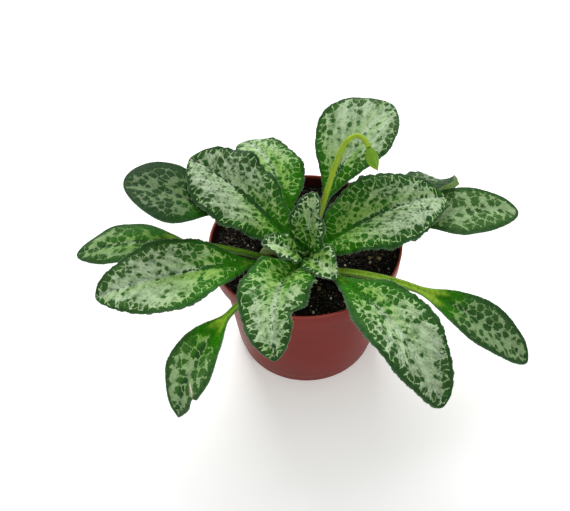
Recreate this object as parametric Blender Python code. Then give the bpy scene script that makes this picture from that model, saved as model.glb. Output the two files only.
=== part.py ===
"""A young primulina, a rosette house plant, in a plastic nursery pot filled with peat.

The origin is at the middle of the pot's flat base and +Z is up. The sizes below are in
millimetres and degrees; meshes are made in metres. A leaf's heading is counted from +X
towards +Y, seen from above.
"""

import math

import bmesh
import bpy
import numpy as np
from mathutils import Vector, noise

MM = 0.001
GAP = 0.3                      # clearance between pieces that touch
SHARP_ANGLE = 40.0             # edges bent by more than this are shaded sharp

# Pot
POT_HEIGHT = 74.0
RIM_RADIUS = 50.0              # outside, at the lip
RIM_DEPTH = 9.0                # of the wider band under the lip
RIM_LEAN = 0.5                 # how much narrower the band is at its lower edge
SHOULDER_RADIUS = 44.9         # of the body just under the band
BASE_RADIUS = 38.6
FOOT_HEIGHT = 6.0
FOOT_STEP = 0.7                # how far the foot stands back under the body
FOOT_BEVEL = 0.8
LIP_BEVEL = 0.6
LIP_ROUND = 0.4                # how far the lip's outer and inner edges are drawn in at its top
POT_WALL = 1.2
BASE_THICKNESS = 1.8
FLOOR_CORNER = 1.0             # slope between the wall and the base, inside
POT_SIDES = 56
DRAIN_HOLES = 6
DRAIN_RADIUS = 2.6
DRAIN_SIDES = 12
DRAIN_RING_RADIUS = 27.0

# Soil
SOIL_LEVEL = 67.3              # mean height of its top
SOIL_LUMP = 1.1                # height of its lumps
LUMP_COARSE = 0.16             # lumps for each millimetre, coarse and fine
LUMP_FINE = 0.5
SOIL_DISH = 1.4                # how far it dips round the crown
SOIL_SIDES = 48
SOIL_RINGS = 6
HOLE_DEPTH = 13.0              # of the plain hole that the crown stands in
HOLE_GAP = 0.4                 # between the crown and the hole's wall

# Crown, the short stem in the middle of the rosette
CROWN_X = -1.0
CROWN_Y = -14.0
CROWN_SIDES = 16
CROWN_PROFILE = [              # height, radius
    (56.0, 2.6), (60.0, 3.6), (66.0, 4.1), (71.0, 4.2), (74.0, 3.7), (77.0, 2.9), (79.5, 1.7), (81.0, 0.8),
]

# Leaf build
AXIS_STEPS = 96                # steps in which a leaf's midrib is followed
STALK_ROWS = 5
BLADE_ROWS = 20
YOUNG_LENGTH = 45.0            # a shorter leaf is a young one
YOUNG_STALK_ROWS = 2
YOUNG_BLADE_ROWS = 12
ROW_CROWDING = 1.15            # over 1, the rows stand closer towards the tip
COLUMNS = (-1.0, -0.7, -0.35, 0.0, 0.35, 0.7, 1.0)
DROOP_POWER = 1.4              # over 1, a leaf droops more towards its tip
WAVE_POWER = 2.5               # over 1, its waves keep to the edge
TOOTH_POWER = 6
BLADE_HALF = 0.35              # half the thickness of a blade
RIB_DEPTH = 1.7                # how far the stalk and the midrib's root stand out below
RIB_WIDTH = 1.7
RIB_FADE = 0.75                # share of its depth that the midrib loses by the tip
FULL_STALK_WIDTH = 4.0         # of a grown leaf; a narrower stalk is also shallower
TOOTH = 0.35                   # depth of the rounded teeth along the edge

# Flower stalk and bud
STALK_ROOT_RADIUS = 1.35
STALK_TIP_RADIUS = 0.95
STALK_SIDES = 10
STALK_RINGS = 22
PATH_STEPS = 20                # between two guide points
BUD_ROOT_RADIUS = 1.1
BUD_RADIUS = 2.8
BUD_WIDEST = 0.42              # share of its length at its widest
BUD_TAPER = 0.8
BUD_SIDES = 15
BUD_RINGS = 9
BUD_RIBS = 5
BUD_KEEL = 0.16                # how far its ribs stand out, as a share of its radius

# Leaves
LEAVES = [
    dict(name="leaf_far_left_upper", height=72.0, heading=154, rise=34, droop=16, sweep=29, roll=2, twist=1,
         length=95.0, stalk=44.5, stalk_width=3.4, width=42.5, skew=0.06, widest=0.54, base_taper=1.4,
         tip_taper=0.62, fold=4, wave=0.1, waves=3, left_phase=315, right_phase=350),
    dict(name="leaf_left_upper", height=78.0, heading=141, rise=40, droop=30, sweep=8, roll=2, twist=-10,
         length=73.0, stalk=3.0, stalk_width=3.6, width=43.5, skew=0.01, widest=0.65, base_taper=0.9,
         tip_taper=0.86, fold=2, wave=1.8, waves=4, left_phase=240, right_phase=200),
    dict(name="leaf_back_left", height=72.3, heading=103, rise=37, droop=72, sweep=17, roll=2, twist=-3,
         length=91.5, stalk=25.0, stalk_width=3.6, width=33.0, skew=0.0, widest=0.38, base_taper=0.9,
         tip_taper=0.62, fold=4, wave=1.1, waves=3, left_phase=160, right_phase=30),
    dict(name="leaf_back_tall", height=74.4, heading=64, rise=53, droop=32, sweep=-31, roll=-3, twist=-1,
         length=87.5, stalk=22.5, stalk_width=3.6, width=44.5, skew=0.18, widest=0.68, base_taper=2.1,
         tip_taper=0.62, fold=9, wave=0.5, waves=2.5, left_phase=100, right_phase=60),
    dict(name="leaf_right_upper", height=76.7, heading=19, rise=31, droop=51, sweep=0, roll=0, twist=12,
         length=77.5, stalk=3.0, stalk_width=3.6, width=47.0, skew=-0.01, widest=0.47, base_taper=0.9,
         tip_taper=0.7, fold=9, wave=0.9, waves=4, left_phase=180, right_phase=10),
    dict(name="leaf_right_rear", height=72.3, heading=39, rise=27, droop=56, sweep=-21, roll=-5, twist=-12,
         length=99.5, stalk=34.5, stalk_width=3.4, width=28.0, skew=0.08, widest=0.56, base_taper=1.7,
         tip_taper=1.0, fold=0, wave=0.5, waves=3, left_phase=135, right_phase=35),
    dict(name="leaf_far_right_upper", height=69.3, heading=19, rise=17, droop=35, sweep=-13, roll=0, twist=10,
         length=113.5, stalk=50.0, stalk_width=3.4, width=30.0, skew=-0.05, widest=0.47, base_taper=1.5,
         tip_taper=0.62, fold=9, wave=0.3, waves=3, left_phase=135, right_phase=220),
    dict(name="leaf_left_middle", height=69.3, heading=177, rise=27, droop=52, sweep=0, roll=1, twist=0,
         length=114.5, stalk=57.5, stalk_width=3.6, width=26.0, skew=-0.03, widest=0.56, base_taper=0.8,
         tip_taper=0.62, fold=1, wave=0.4, waves=3, left_phase=205, right_phase=85),
    dict(name="leaf_left_lower", height=73.8, heading=194, rise=19, droop=35, sweep=-1, roll=-5, twist=-7,
         length=100.0, stalk=28.5, stalk_width=3.6, width=39.0, skew=0.15, widest=0.54, base_taper=0.8,
         tip_taper=0.62, fold=13, wave=1.0, waves=3, left_phase=115, right_phase=125),
    dict(name="leaf_front_left", height=70.4, heading=220, rise=21, droop=99, sweep=15, roll=4, twist=-2,
         length=107.0, stalk=44.0, stalk_width=3.6, width=25.0, skew=0.01, widest=0.47, base_taper=2.0,
         tip_taper=0.89, fold=18, wave=0.6, waves=3, left_phase=40, right_phase=180),
    dict(name="leaf_front", height=75.4, heading=237, rise=28, droop=55, sweep=40, roll=-5, twist=26,
         length=67.5, stalk=3.0, stalk_width=3.4, width=36.0, skew=-0.02, widest=0.38, base_taper=0.9,
         tip_taper=0.63, fold=18, wave=2.6, waves=3, left_phase=355, right_phase=275),
    dict(name="leaf_right_lower", height=74.0, heading=308, rise=25, droop=77, sweep=-7, roll=-2, twist=-1,
         length=104.0, stalk=18.0, stalk_width=4.0, width=36.0, skew=-0.01, widest=0.5, base_taper=1.4,
         tip_taper=0.62, fold=18, wave=1.1, waves=3, left_phase=135, right_phase=205),
    dict(name="leaf_far_right_lower", height=69.5, heading=329, rise=26, droop=70, sweep=-1, roll=1, twist=5,
         length=118.5, stalk=64.5, stalk_width=3.6, width=24.0, skew=-0.08, widest=0.51, base_taper=1.0,
         tip_taper=0.62, fold=13, wave=0.3, waves=3, left_phase=155, right_phase=5),
    dict(name="young_leaf_upright", height=81.3, heading=61, rise=80, droop=10, sweep=-7, roll=-7, twist=-6,
         length=33.5, stalk=3.0, stalk_width=2.6, width=23.5, skew=-0.06, widest=0.38, base_taper=0.9,
         tip_taper=0.62, fold=9, wave=0.8, waves=3, left_phase=355, right_phase=330),
    dict(name="young_leaf_left", height=79.0, heading=205, rise=57, droop=36, sweep=-8, roll=-15, twist=-4,
         length=26.5, stalk=3.0, stalk_width=2.2, width=15.5, skew=0.17, widest=0.38, base_taper=0.9,
         tip_taper=0.71, fold=17, wave=1.2, waves=3, left_phase=270, right_phase=350),
    dict(name="young_leaf_right", height=79.3, heading=297, rise=37, droop=48, sweep=7, roll=19, twist=6,
         length=27.5, stalk=3.0, stalk_width=2.2, width=17.5, skew=0.15, widest=0.38, base_taper=0.9,
         tip_taper=0.62, fold=18, wave=0.4, waves=3, left_phase=290, right_phase=250),
]

# The flower stalk's path, from the crown to the bud, and the bud's, from its root to its tip
FLOWER_STALK_PATH = [
    (0.4, -9.7, 78.0), (2.6, -8.1, 84.0), (5.2, -6.2, 92.0), (8.4, -4.0, 102.0), (12.4, 0.0, 114.0),
    (16.4, 5.0, 124.5), (20.3, 8.5, 131.0), (25.2, 9.8, 133.6), (28.6, 7.5, 133.2), (30.5, 4.0, 131.3),
]
BUD_PATH = [(30.9, 3.4, 130.3), (31.6, 2.7, 127.7), (32.7, 1.7, 124.7), (35.0, 0.0, 120.0)]


def clear_scene():
    """Remove every object, so that the model stands alone."""
    for item in list(bpy.data.objects):
        bpy.data.objects.remove(item, do_unlink=True)


def make_material(name, colour, roughness):
    """A plain Principled material with the piece's colour."""
    material = bpy.data.materials.new(name)
    material.use_nodes = True
    shader = material.node_tree.nodes["Principled BSDF"]
    shader.inputs["Base Color"].default_value = (*colour, 1.0)
    shader.inputs["Roughness"].default_value = roughness
    shader.inputs["Metallic"].default_value = 0.0
    return material


def add_object(name, points, faces, material):
    """A closed mesh object from points in millimetres, with every face split and facing out."""
    mesh = bpy.data.meshes.new(name)
    mesh.from_pydata([tuple(float(value) * MM for value in point) for point in points], [], faces)
    work = bmesh.new()
    work.from_mesh(mesh)
    bmesh.ops.recalc_face_normals(work, faces=work.faces)
    work.to_mesh(mesh)
    work.free()
    mesh.shade_smooth()
    mesh.set_sharp_from_angle(angle=math.radians(SHARP_ANGLE))
    mesh.materials.append(material)
    item = bpy.data.objects.new(name, mesh)
    bpy.context.collection.objects.link(item)
    return item


def loft(rings, start_point=None, end_point=None):
    """Join rings of equal point counts; an end closes on a point, or else on a flat fan."""
    points = []
    faces = []
    count = len(rings[0])
    for ring in rings:
        points.extend(ring)
    for low in range(len(rings) - 1):
        for side in range(count):
            after = (side + 1) % count
            a = low * count + side
            b = low * count + after
            faces.append((a, b, b + count))
            faces.append((a, b + count, a + count))
    for ring_start, end in ((0, start_point), ((len(rings) - 1) * count, end_point)):
        if end is None:
            end = np.mean(np.array(rings[ring_start // count]), axis=0)
        points.append(end)
        for side in range(count):
            faces.append((ring_start + side, ring_start + (side + 1) % count, len(points) - 1))
    return points, faces


def circle(radius, height, sides, centre=(0.0, 0.0)):
    """Points of one level circle."""
    ring = []
    for side in range(sides):
        angle = 2.0 * math.pi * side / sides
        ring.append((centre[0] + radius * math.cos(angle), centre[1] + radius * math.sin(angle), height))
    return ring


def body_radius(height):
    """Outside radius of the pot's body, which tapers from the shoulder to the base."""
    shoulder_height = POT_HEIGHT - RIM_DEPTH
    return BASE_RADIUS + (SHOULDER_RADIUS - BASE_RADIUS) * height / shoulder_height


def inner_radius(height):
    """Inside radius of the pot at a height."""
    shoulder_height = POT_HEIGHT - RIM_DEPTH
    if height < shoulder_height + POT_WALL:
        return body_radius(min(height, shoulder_height)) - POT_WALL
    return RIM_RADIUS - RIM_LEAN - POT_WALL


def make_pot(material):
    """The pot: one wall turned round +Z, with a wider band under the lip, and drain holes."""
    shoulder = POT_HEIGHT - RIM_DEPTH
    outside = [
        (BASE_RADIUS - FOOT_STEP - FOOT_BEVEL, 0.0),
        (BASE_RADIUS - FOOT_STEP, FOOT_BEVEL),
        (body_radius(FOOT_HEIGHT) - FOOT_STEP, FOOT_HEIGHT),
        (body_radius(FOOT_HEIGHT + FOOT_STEP), FOOT_HEIGHT + FOOT_STEP),
        (body_radius(shoulder), shoulder),
        (RIM_RADIUS - RIM_LEAN - LIP_BEVEL, shoulder),
        (RIM_RADIUS - RIM_LEAN, shoulder + LIP_BEVEL),
        (RIM_RADIUS, POT_HEIGHT - LIP_BEVEL),
        (RIM_RADIUS - LIP_ROUND, POT_HEIGHT),
    ]
    inside = [
        (RIM_RADIUS - POT_WALL + LIP_ROUND, POT_HEIGHT),
        (RIM_RADIUS - POT_WALL, POT_HEIGHT - LIP_BEVEL),
        (inner_radius(POT_HEIGHT), shoulder + POT_WALL),
        (inner_radius(shoulder), shoulder + POT_WALL),
        (inner_radius(BASE_THICKNESS + FLOOR_CORNER), BASE_THICKNESS + FLOOR_CORNER),
        (inner_radius(BASE_THICKNESS) - FLOOR_CORNER, BASE_THICKNESS),
    ]
    rings = [circle(radius, height, POT_SIDES) for radius, height in outside + inside]
    points, faces = loft(rings, (0.0, 0.0, 0.0), (0.0, 0.0, BASE_THICKNESS))
    pot = add_object("pot", points, faces, material)
    for number in range(DRAIN_HOLES):
        angle = 2.0 * math.pi * (number + 0.5) / DRAIN_HOLES
        centre = (DRAIN_RING_RADIUS * math.cos(angle), DRAIN_RING_RADIUS * math.sin(angle))
        ends = (-BASE_THICKNESS, 2.0 * BASE_THICKNESS)
        hole_rings = [circle(DRAIN_RADIUS, height, DRAIN_SIDES, centre) for height in ends]
        cutter = add_object("drain_cutter", *loft(hole_rings), material)
        cut = pot.modifiers.new("drain_hole", "BOOLEAN")
        cut.operation = "DIFFERENCE"
        cut.solver = "EXACT"
        cut.object = cutter
        bpy.context.view_layer.objects.active = pot
        bpy.ops.object.modifier_apply(modifier=cut.name)
        bpy.data.objects.remove(cutter, do_unlink=True)
    return pot


def crown_radius(height):
    """Radius of the crown at a height."""
    heights = [level for level, radius in CROWN_PROFILE]
    radii = [radius for level, radius in CROWN_PROFILE]
    return float(np.interp(height, heights, radii))


def make_soil(material):
    """The soil: it fills the pot, its top is lumpy, and a plain hole in it holds the crown."""
    hole_radius = crown_radius(SOIL_LEVEL) + HOLE_GAP
    wall_radius = inner_radius(SOIL_LEVEL) - GAP
    shoulder = POT_HEIGHT - RIM_DEPTH
    hole = (CROWN_X, CROWN_Y)
    floor = SOIL_LEVEL - HOLE_DEPTH
    rings = [circle(hole_radius, floor, SOIL_SIDES, hole)]
    for step in range(SOIL_RINGS + 1):
        share = step / SOIL_RINGS
        radius = hole_radius + (wall_radius - hole_radius) * share
        centre = (CROWN_X * (1.0 - share), CROWN_Y * (1.0 - share))
        dish = SOIL_DISH * (1.0 - share) ** 3
        ring = []
        for x, y, z in circle(radius, SOIL_LEVEL, SOIL_SIDES, centre):
            coarse = noise.noise(Vector((x * LUMP_COARSE, y * LUMP_COARSE, 3.0)))
            fine = noise.noise(Vector((x * LUMP_FINE, y * LUMP_FINE, 7.0)))
            lump = SOIL_LUMP * (coarse + 0.6 * fine) * (1.0 - 0.7 * share ** 6)
            ring.append((x, y, z + lump - dish))
        rings.append(ring)
    for radius, height in (
        (wall_radius, shoulder + POT_WALL + GAP),
        (inner_radius(shoulder) - GAP, shoulder + POT_WALL + GAP),
        (inner_radius(shoulder) - GAP, shoulder),
        (inner_radius(BASE_THICKNESS + FLOOR_CORNER) - GAP, BASE_THICKNESS + FLOOR_CORNER),
        (inner_radius(BASE_THICKNESS) - FLOOR_CORNER - GAP, BASE_THICKNESS + GAP),
    ):
        rings.append(circle(radius, height, SOIL_SIDES))
    points, faces = loft(rings)
    return add_object("soil", points, faces, material)


def make_crown(material):
    """The crown: a short stem, its root end in the soil's hole, narrowing to the youngest leaf."""
    centre = (CROWN_X, CROWN_Y)
    rings = [circle(radius, height, CROWN_SIDES, centre) for height, radius in CROWN_PROFILE]
    points, faces = loft(rings)
    return add_object("crown", points, faces, material)


def leaf_axis(leaf):
    """Follow a leaf's midrib: places, directions, side directions and upward normals along it."""
    share = np.linspace(0.0, 1.0, AXIS_STEPS + 1)
    slope = np.radians(leaf["rise"] - leaf["droop"] * share ** DROOP_POWER)
    heading = np.radians(leaf["heading"] + leaf["sweep"] * share)
    along = np.stack([np.cos(slope) * np.cos(heading), np.cos(slope) * np.sin(heading), np.sin(slope)], axis=1)
    steps = 0.5 * (along[1:] + along[:-1]) * leaf["length"] / AXIS_STEPS
    root_angle = math.radians(leaf["heading"])
    root_tilt = math.sin(math.radians(leaf["rise"]))
    out = crown_radius(leaf["height"]) + GAP + BLADE_HALF * root_tilt
    root = np.array([CROWN_X + out * math.cos(root_angle), CROWN_Y + out * math.sin(root_angle), leaf["height"]])
    places = root + np.vstack([np.zeros(3), np.cumsum(steps, axis=0)])
    sideways = np.stack([-np.sin(heading), np.cos(heading), np.zeros_like(heading)], axis=1)
    upward = np.cross(along, sideways)
    roll = np.radians(leaf["roll"] + leaf["twist"] * share)[:, None]
    side = sideways * np.cos(roll) + upward * np.sin(roll)
    normal = upward * np.cos(roll) - sideways * np.sin(roll)
    return share, places, side, normal


def blade_share(leaf, share):
    """How far along the blade a station lies: 0 at its base and on the stalk, 1 at the tip."""
    stalk_share = leaf["stalk"] / leaf["length"]
    return np.clip((share - stalk_share) / (1.0 - stalk_share), 0.0, 1.0)


def half_width(leaf, blade):
    """Half the leaf's width: the stalk's, flowing into the blade's oval outline."""
    widest = leaf["widest"]
    base_side = np.sin(0.5 * math.pi * np.clip(blade / widest, 0.0, 1.0)) ** leaf["base_taper"]
    tip_angle = 0.5 * math.pi * np.clip((blade - widest) / (1.0 - widest), 0.0, 1.0)
    tip_side = np.clip(np.cos(tip_angle), 0.0, 1.0) ** leaf["tip_taper"]
    outline = np.where(blade < widest, base_side, tip_side)
    stalk = 0.5 * leaf["stalk_width"] * (1.0 - blade ** 2)
    return np.sqrt(stalk ** 2 + (0.5 * leaf["width"] * outline) ** 2)


def leaf_grid(leaf, stations, columns, teeth):
    """Points of a leaf's upper and lower face, one row for each station along it."""
    share, places, side, normal = leaf_axis(leaf)
    place = np.stack([np.interp(stations, share, places[:, axis]) for axis in range(3)], axis=1)
    side = np.stack([np.interp(stations, share, side[:, axis]) for axis in range(3)], axis=1)
    normal = np.stack([np.interp(stations, share, normal[:, axis]) for axis in range(3)], axis=1)
    blade = blade_share(leaf, stations)
    width = half_width(leaf, blade)
    fold = math.radians(leaf["fold"])
    envelope = np.sqrt(np.sin(math.pi * blade))
    rib = RIB_DEPTH * leaf["stalk_width"] / FULL_STALK_WIDTH * (1.0 - RIB_FADE * blade)
    upper = []
    lower = []
    for column in columns:
        phase = leaf["left_phase"] if column > 0.0 else leaf["right_phase"]
        side_sign = 1.0 if column > 0.0 else -1.0
        skew = 1.0 + side_sign * leaf["skew"] * np.sin(math.pi * blade)
        across = column * (width * skew + teeth * abs(column) ** TOOTH_POWER)
        ripple = np.sin(2.0 * math.pi * leaf["waves"] * blade + math.radians(phase))
        wave = leaf["wave"] * envelope * abs(column) ** WAVE_POWER * ripple
        lift = np.abs(across) * math.sin(fold) + wave
        middle = place + side * (across * math.cos(fold))[:, None] + normal * lift[:, None]
        below = BLADE_HALF + rib * np.exp(-(across / RIB_WIDTH) ** 2)
        upper.append(middle + normal * BLADE_HALF)
        lower.append(middle - normal * below[:, None])
    return np.stack(upper, axis=1), np.stack(lower, axis=1)


def make_leaf(leaf, material):
    """One leaf, stalk and blade in one piece, its two faces split along the same diagonals."""
    young = leaf["length"] < YOUNG_LENGTH
    blade_rows = YOUNG_BLADE_ROWS if young else BLADE_ROWS
    stalk_rows = YOUNG_STALK_ROWS if young else STALK_ROWS
    stalk_share = leaf["stalk"] / leaf["length"]
    on_stalk = np.linspace(0.0, stalk_share, stalk_rows + 1)[:-1]
    on_blade = 1.0 - np.linspace(1.0, 0.0, blade_rows + 1) ** ROW_CROWDING
    stations = np.concatenate([on_stalk, stalk_share + (1.0 - stalk_share) * on_blade])
    teeth = np.zeros(len(stations))
    teeth[stalk_rows + 2:-1:2] = TOOTH
    teeth[stalk_rows + 3:-1:2] = -TOOTH
    upper, lower = leaf_grid(leaf, stations, COLUMNS, teeth)
    rows = len(stations) - 1
    columns = len(COLUMNS)
    points = [point for row in upper[:rows] for point in row]
    points += [point for row in lower[:rows] for point in row]
    lower_start = rows * columns
    upper_tip = len(points)
    lower_tip = upper_tip + 1
    points += [upper[rows, columns // 2], lower[rows, columns // 2]]
    faces = []
    for row in range(rows - 1):
        for column in range(columns - 1):
            a = row * columns + column
            b = a + columns
            # Each half is split towards the tip in the middle, alike above and below.
            if column < columns // 2:
                pair = [(a, a + 1, b), (a + 1, b + 1, b)]
            else:
                pair = [(a, a + 1, b + 1), (a, b + 1, b)]
            for face in pair:
                faces.append(face)
                faces.append(tuple(lower_start + corner for corner in reversed(face)))
    last = (rows - 1) * columns
    for column in range(columns - 1):
        faces.append((last + column, last + column + 1, upper_tip))
        faces.append((lower_start + last + column + 1, lower_start + last + column, lower_tip))
        faces.append((column + 1, column, lower_start + column))
        faces.append((column + 1, lower_start + column, lower_start + column + 1))
    for column in (0, columns - 1):
        for row in range(rows - 1):
            a = row * columns + column
            b = a + columns
            faces.append((a, b, lower_start + b))
            faces.append((a, lower_start + b, lower_start + a))
        faces.append((last + column, upper_tip, lower_tip))
        faces.append((last + column, lower_tip, lower_start + last + column))
    return add_object(leaf["name"], points, faces, material)


def smooth_path(guides, count):
    """Points at even spacing on a Catmull-Rom curve through the guides."""
    guides = np.array(guides, dtype=float)
    padded = np.vstack([2.0 * guides[0] - guides[1], guides, 2.0 * guides[-1] - guides[-2]])
    dense = []
    for start in range(len(guides) - 1):
        before, first, second, after = padded[start:start + 4]
        for step in range(PATH_STEPS):
            t = step / PATH_STEPS
            dense.append(0.5 * (2.0 * first + (second - before) * t
                                + (2.0 * before - 5.0 * first + 4.0 * second - after) * t ** 2
                                + (3.0 * first - before - 3.0 * second + after) * t ** 3))
    dense.append(guides[-1])
    dense = np.array(dense)
    distance = np.concatenate([[0.0], np.cumsum(np.linalg.norm(np.diff(dense, axis=0), axis=1))])
    wanted = np.linspace(0.0, distance[-1], count)
    return np.stack([np.interp(wanted, distance, dense[:, axis]) for axis in range(3)], axis=1)


def tube_rings(path, radii, sides, keel=0.0):
    """Rings square to a path; a keel raises ribs round each ring."""
    rings = []
    directions = np.gradient(path, axis=0)
    across = np.array([1.0, 0.0, 0.0])
    for place, direction, radius in zip(path, directions, radii):
        direction = direction / np.linalg.norm(direction)
        across = across - direction * np.dot(across, direction)
        across = across / np.linalg.norm(across)
        third = np.cross(direction, across)
        ring = []
        for number in range(sides):
            angle = 2.0 * math.pi * number / sides
            swell = radius * (1.0 + keel * math.cos(BUD_RIBS * angle))
            ring.append(place + swell * (across * math.cos(angle) + third * math.sin(angle)))
        rings.append(ring)
    return rings


def make_flower_stalk(material):
    """The flower stalk: it rises from the crown and arches over at its end."""
    path = smooth_path(FLOWER_STALK_PATH, STALK_RINGS)
    radii = np.linspace(STALK_ROOT_RADIUS, STALK_TIP_RADIUS, STALK_RINGS)
    points, faces = loft(tube_rings(path, radii, STALK_SIDES))
    return add_object("flower_stalk", points, faces, material)


def make_flower_bud(material):
    """The bud, closed in its ribbed green calyx, hanging from the stalk's end."""
    path = smooth_path(BUD_PATH, BUD_RINGS + 1)
    along = np.linspace(0.0, 1.0, BUD_RINGS + 1)[:-1]
    swell = np.sin(0.5 * math.pi * np.clip(along / BUD_WIDEST, 0.0, 1.0))
    tip_angle = 0.5 * math.pi * np.clip((along - BUD_WIDEST) / (1.0 - BUD_WIDEST), 0.0, 1.0)
    near_root = BUD_ROOT_RADIUS + (BUD_RADIUS - BUD_ROOT_RADIUS) * swell
    near_tip = BUD_RADIUS * np.cos(tip_angle) ** BUD_TAPER
    radii = np.where(along < BUD_WIDEST, near_root, near_tip)
    points, faces = loft(tube_rings(path[:-1], radii, BUD_SIDES, BUD_KEEL), None, path[-1])
    return add_object("flower_bud", points, faces, material)


def main():
    clear_scene()
    clay_red = make_material("pot_plastic", (0.23, 0.055, 0.042), 0.45)
    peat = make_material("peat", (0.016, 0.010, 0.007), 0.95)
    stem_green = make_material("stem_green", (0.28, 0.40, 0.07), 0.5)
    leaf_green = make_material("leaf_green", (0.17, 0.30, 0.13), 0.5)
    bud_green = make_material("bud_green", (0.19, 0.36, 0.03), 0.5)
    make_pot(clay_red)
    make_soil(peat)
    make_crown(stem_green)
    for leaf in LEAVES:
        make_leaf(leaf, leaf_green)
    make_flower_stalk(stem_green)
    make_flower_bud(bud_green)


main()
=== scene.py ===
"""The looks of a young primulina in its pot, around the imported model.

Lengths are in millimetres and angles in degrees, unless a name says otherwise; meshes are made in
metres. A leaf's heading is counted from +X towards +Y, seen from above, and distances across it are
above 0 on its left. Colours are linear.
"""

import math

import bmesh
import bpy
import numpy as np
from mathutils import Matrix, Vector


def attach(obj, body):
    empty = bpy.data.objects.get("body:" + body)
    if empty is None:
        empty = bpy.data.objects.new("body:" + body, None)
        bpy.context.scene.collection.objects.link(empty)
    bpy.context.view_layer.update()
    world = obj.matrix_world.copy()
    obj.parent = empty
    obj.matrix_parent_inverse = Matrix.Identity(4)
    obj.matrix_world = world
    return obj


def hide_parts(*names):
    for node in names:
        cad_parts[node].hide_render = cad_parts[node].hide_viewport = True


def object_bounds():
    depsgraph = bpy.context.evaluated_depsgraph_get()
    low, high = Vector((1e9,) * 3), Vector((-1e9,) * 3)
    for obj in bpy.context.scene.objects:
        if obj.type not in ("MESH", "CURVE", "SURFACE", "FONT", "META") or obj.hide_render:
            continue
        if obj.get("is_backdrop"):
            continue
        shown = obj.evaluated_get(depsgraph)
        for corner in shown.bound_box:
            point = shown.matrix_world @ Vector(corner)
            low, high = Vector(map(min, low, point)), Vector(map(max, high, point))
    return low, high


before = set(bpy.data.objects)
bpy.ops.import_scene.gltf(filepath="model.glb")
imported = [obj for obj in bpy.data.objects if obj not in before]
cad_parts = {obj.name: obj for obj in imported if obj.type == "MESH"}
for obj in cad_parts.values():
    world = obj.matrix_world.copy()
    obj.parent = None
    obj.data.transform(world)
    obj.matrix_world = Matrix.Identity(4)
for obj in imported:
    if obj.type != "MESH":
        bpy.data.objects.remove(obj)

MM = 0.001
GAP = 0.3                      # clearance between pieces that touch
LATTICE = 128                  # cells of the noise before it repeats

# Camera, round the middle of the pot's rim
VIEW_WIDTH = 40.0              # horizontal angle of view
VIEW_ELEVATION = 48.2
VIEW_ROLL = -2.6
VIEW_DISTANCE = 404.0
VIEW_RIGHT = -10.3             # how far the camera stands off the middle, to its right and up
VIEW_UP = -7.9
SENSOR_WIDTH = 36.0
FLOOR_HALF = 3000.0            # half the floor's side

# Lights: name, place and side in metres, and watts
LIGHTS = [("key", (-0.12, 0.85, 0.85), 0.7, 13.0), ("fill", (0.5, -0.9, 0.8), 1.0, 4.0)]
LIGHT_TARGET = (0.0, 0.0, 0.07)
SURROUNDINGS = 0.6             # strength of the white world

# Pot
POT_HEIGHT = 74.0
RIM_RADIUS = 50.0
RIM_DEPTH = 9.0
RIM_LEAN = 0.5
SHOULDER_RADIUS = 44.9
BASE_RADIUS = 38.6
FOOT_HEIGHT = 6.0
FOOT_STEP = 0.7
POT_WALL = 1.2
BASE_THICKNESS = 1.8
POT_SIDES = 168
DRAIN_HOLES = 6
DRAIN_RADIUS = 2.6
DRAIN_RING_RADIUS = 27.0
SHOULDER = POT_HEIGHT - RIM_DEPTH
RIM_INSIDE = RIM_RADIUS - RIM_LEAN - POT_WALL

# Soil
SOIL_LEVEL = 67.3
SOIL_DISH = 1.4
SOIL_RINGS = 92
SOIL_SIDES = 300
CRUMBS = 900
BARK_GRAINS = 130
PERLITE_GRAINS = 120
FIBRES = 46
FIBRE_AREA = 44.0              # radius within which fibres begin
FIBRE_LIMIT = 46.5             # radius where they are cut off
FIBRE_STEPS = 9
CROWN_CLEARANCE = 5.5          # radius round the crown that is free of grains

# Crown
CROWN_X = -1.0
CROWN_Y = -14.0
CROWN_RINGS = 60
CROWN_PROFILE = [              # height, radius
    (56.0, 2.6), (60.0, 3.6), (66.0, 4.1), (71.0, 4.2), (74.0, 3.7), (77.0, 2.9), (79.5, 1.7), (81.0, 0.8),
]

# Leaf build, shared with the solids
AXIS_STEPS = 96
DROOP_POWER = 1.4
WAVE_POWER = 2.5
BLADE_HALF = 0.35              # half the thickness of the solids' blades
RIB_DEPTH = 1.7                # of the rib below a leaf whose stalk has the full width
RIB_WIDTH = 1.7
RIB_FADE = 0.75                # share of its depth that the rib loses by the tip
FULL_STALK_WIDTH = 4.0

# Finer leaf build
FINE_HALF = 0.3                # half the blade's thickness
EDGE_ROUND = 0.45              # width over which the blade thins to its edge
STALK_ROUND = 0.55             # how far a stalk's rounded top stands above the blade
CHANNEL_DEPTH = 0.45           # of the channel along a stalk's top
CHANNEL_WIDTH = 0.55
GROOVE_DEPTH = 0.65            # of the sunk midrib at the blade's base
STALK_ROW = 1.4                # spacing of a stalk's rows, and of a grown and a young blade's
GROWN_ROW = 0.38
YOUNG_ROW = 0.30
COLUMN_WIDTH = 1.5             # blade width for each column on one side of the midrib
TOOTH_PITCH = 1.75             # spacing of the small teeth along the edge
TOOTH_HEIGHT = 0.16            # of the teeth on an even edge
UNEVEN_TOOTH_HEIGHT = 0.25     # added to it on a fully uneven edge
LOBE_PITCH = 4.6               # spacing of the rounded lobes on an uneven edge
VEIN_SPACING = 7.0             # of the side veins
YOUNG_VEIN_SPACING = 3.6
VEIN_SLANT = 1.35              # how far a side vein runs forward for each millimetre outward
VEIN_SILVER = 0.2              # how silver the margin is where it has only veins
CREASE_SHADE_WIDTH = 1.8          # width of the painted shade along the midrib's fold, a darker green
CREASE_ROUND = 1.6             # radius that softens the fold along the midrib
DOT_SPACING = 1.5              # of the dark dots on a silver blade
NET_STEP = (137.0, 61.0)       # how far apart the leaves lie in their common net

# Hairs
HAIR_HALF = 0.035              # half a hair's thickness at its root
STALK_HAIRS = 1500

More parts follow.
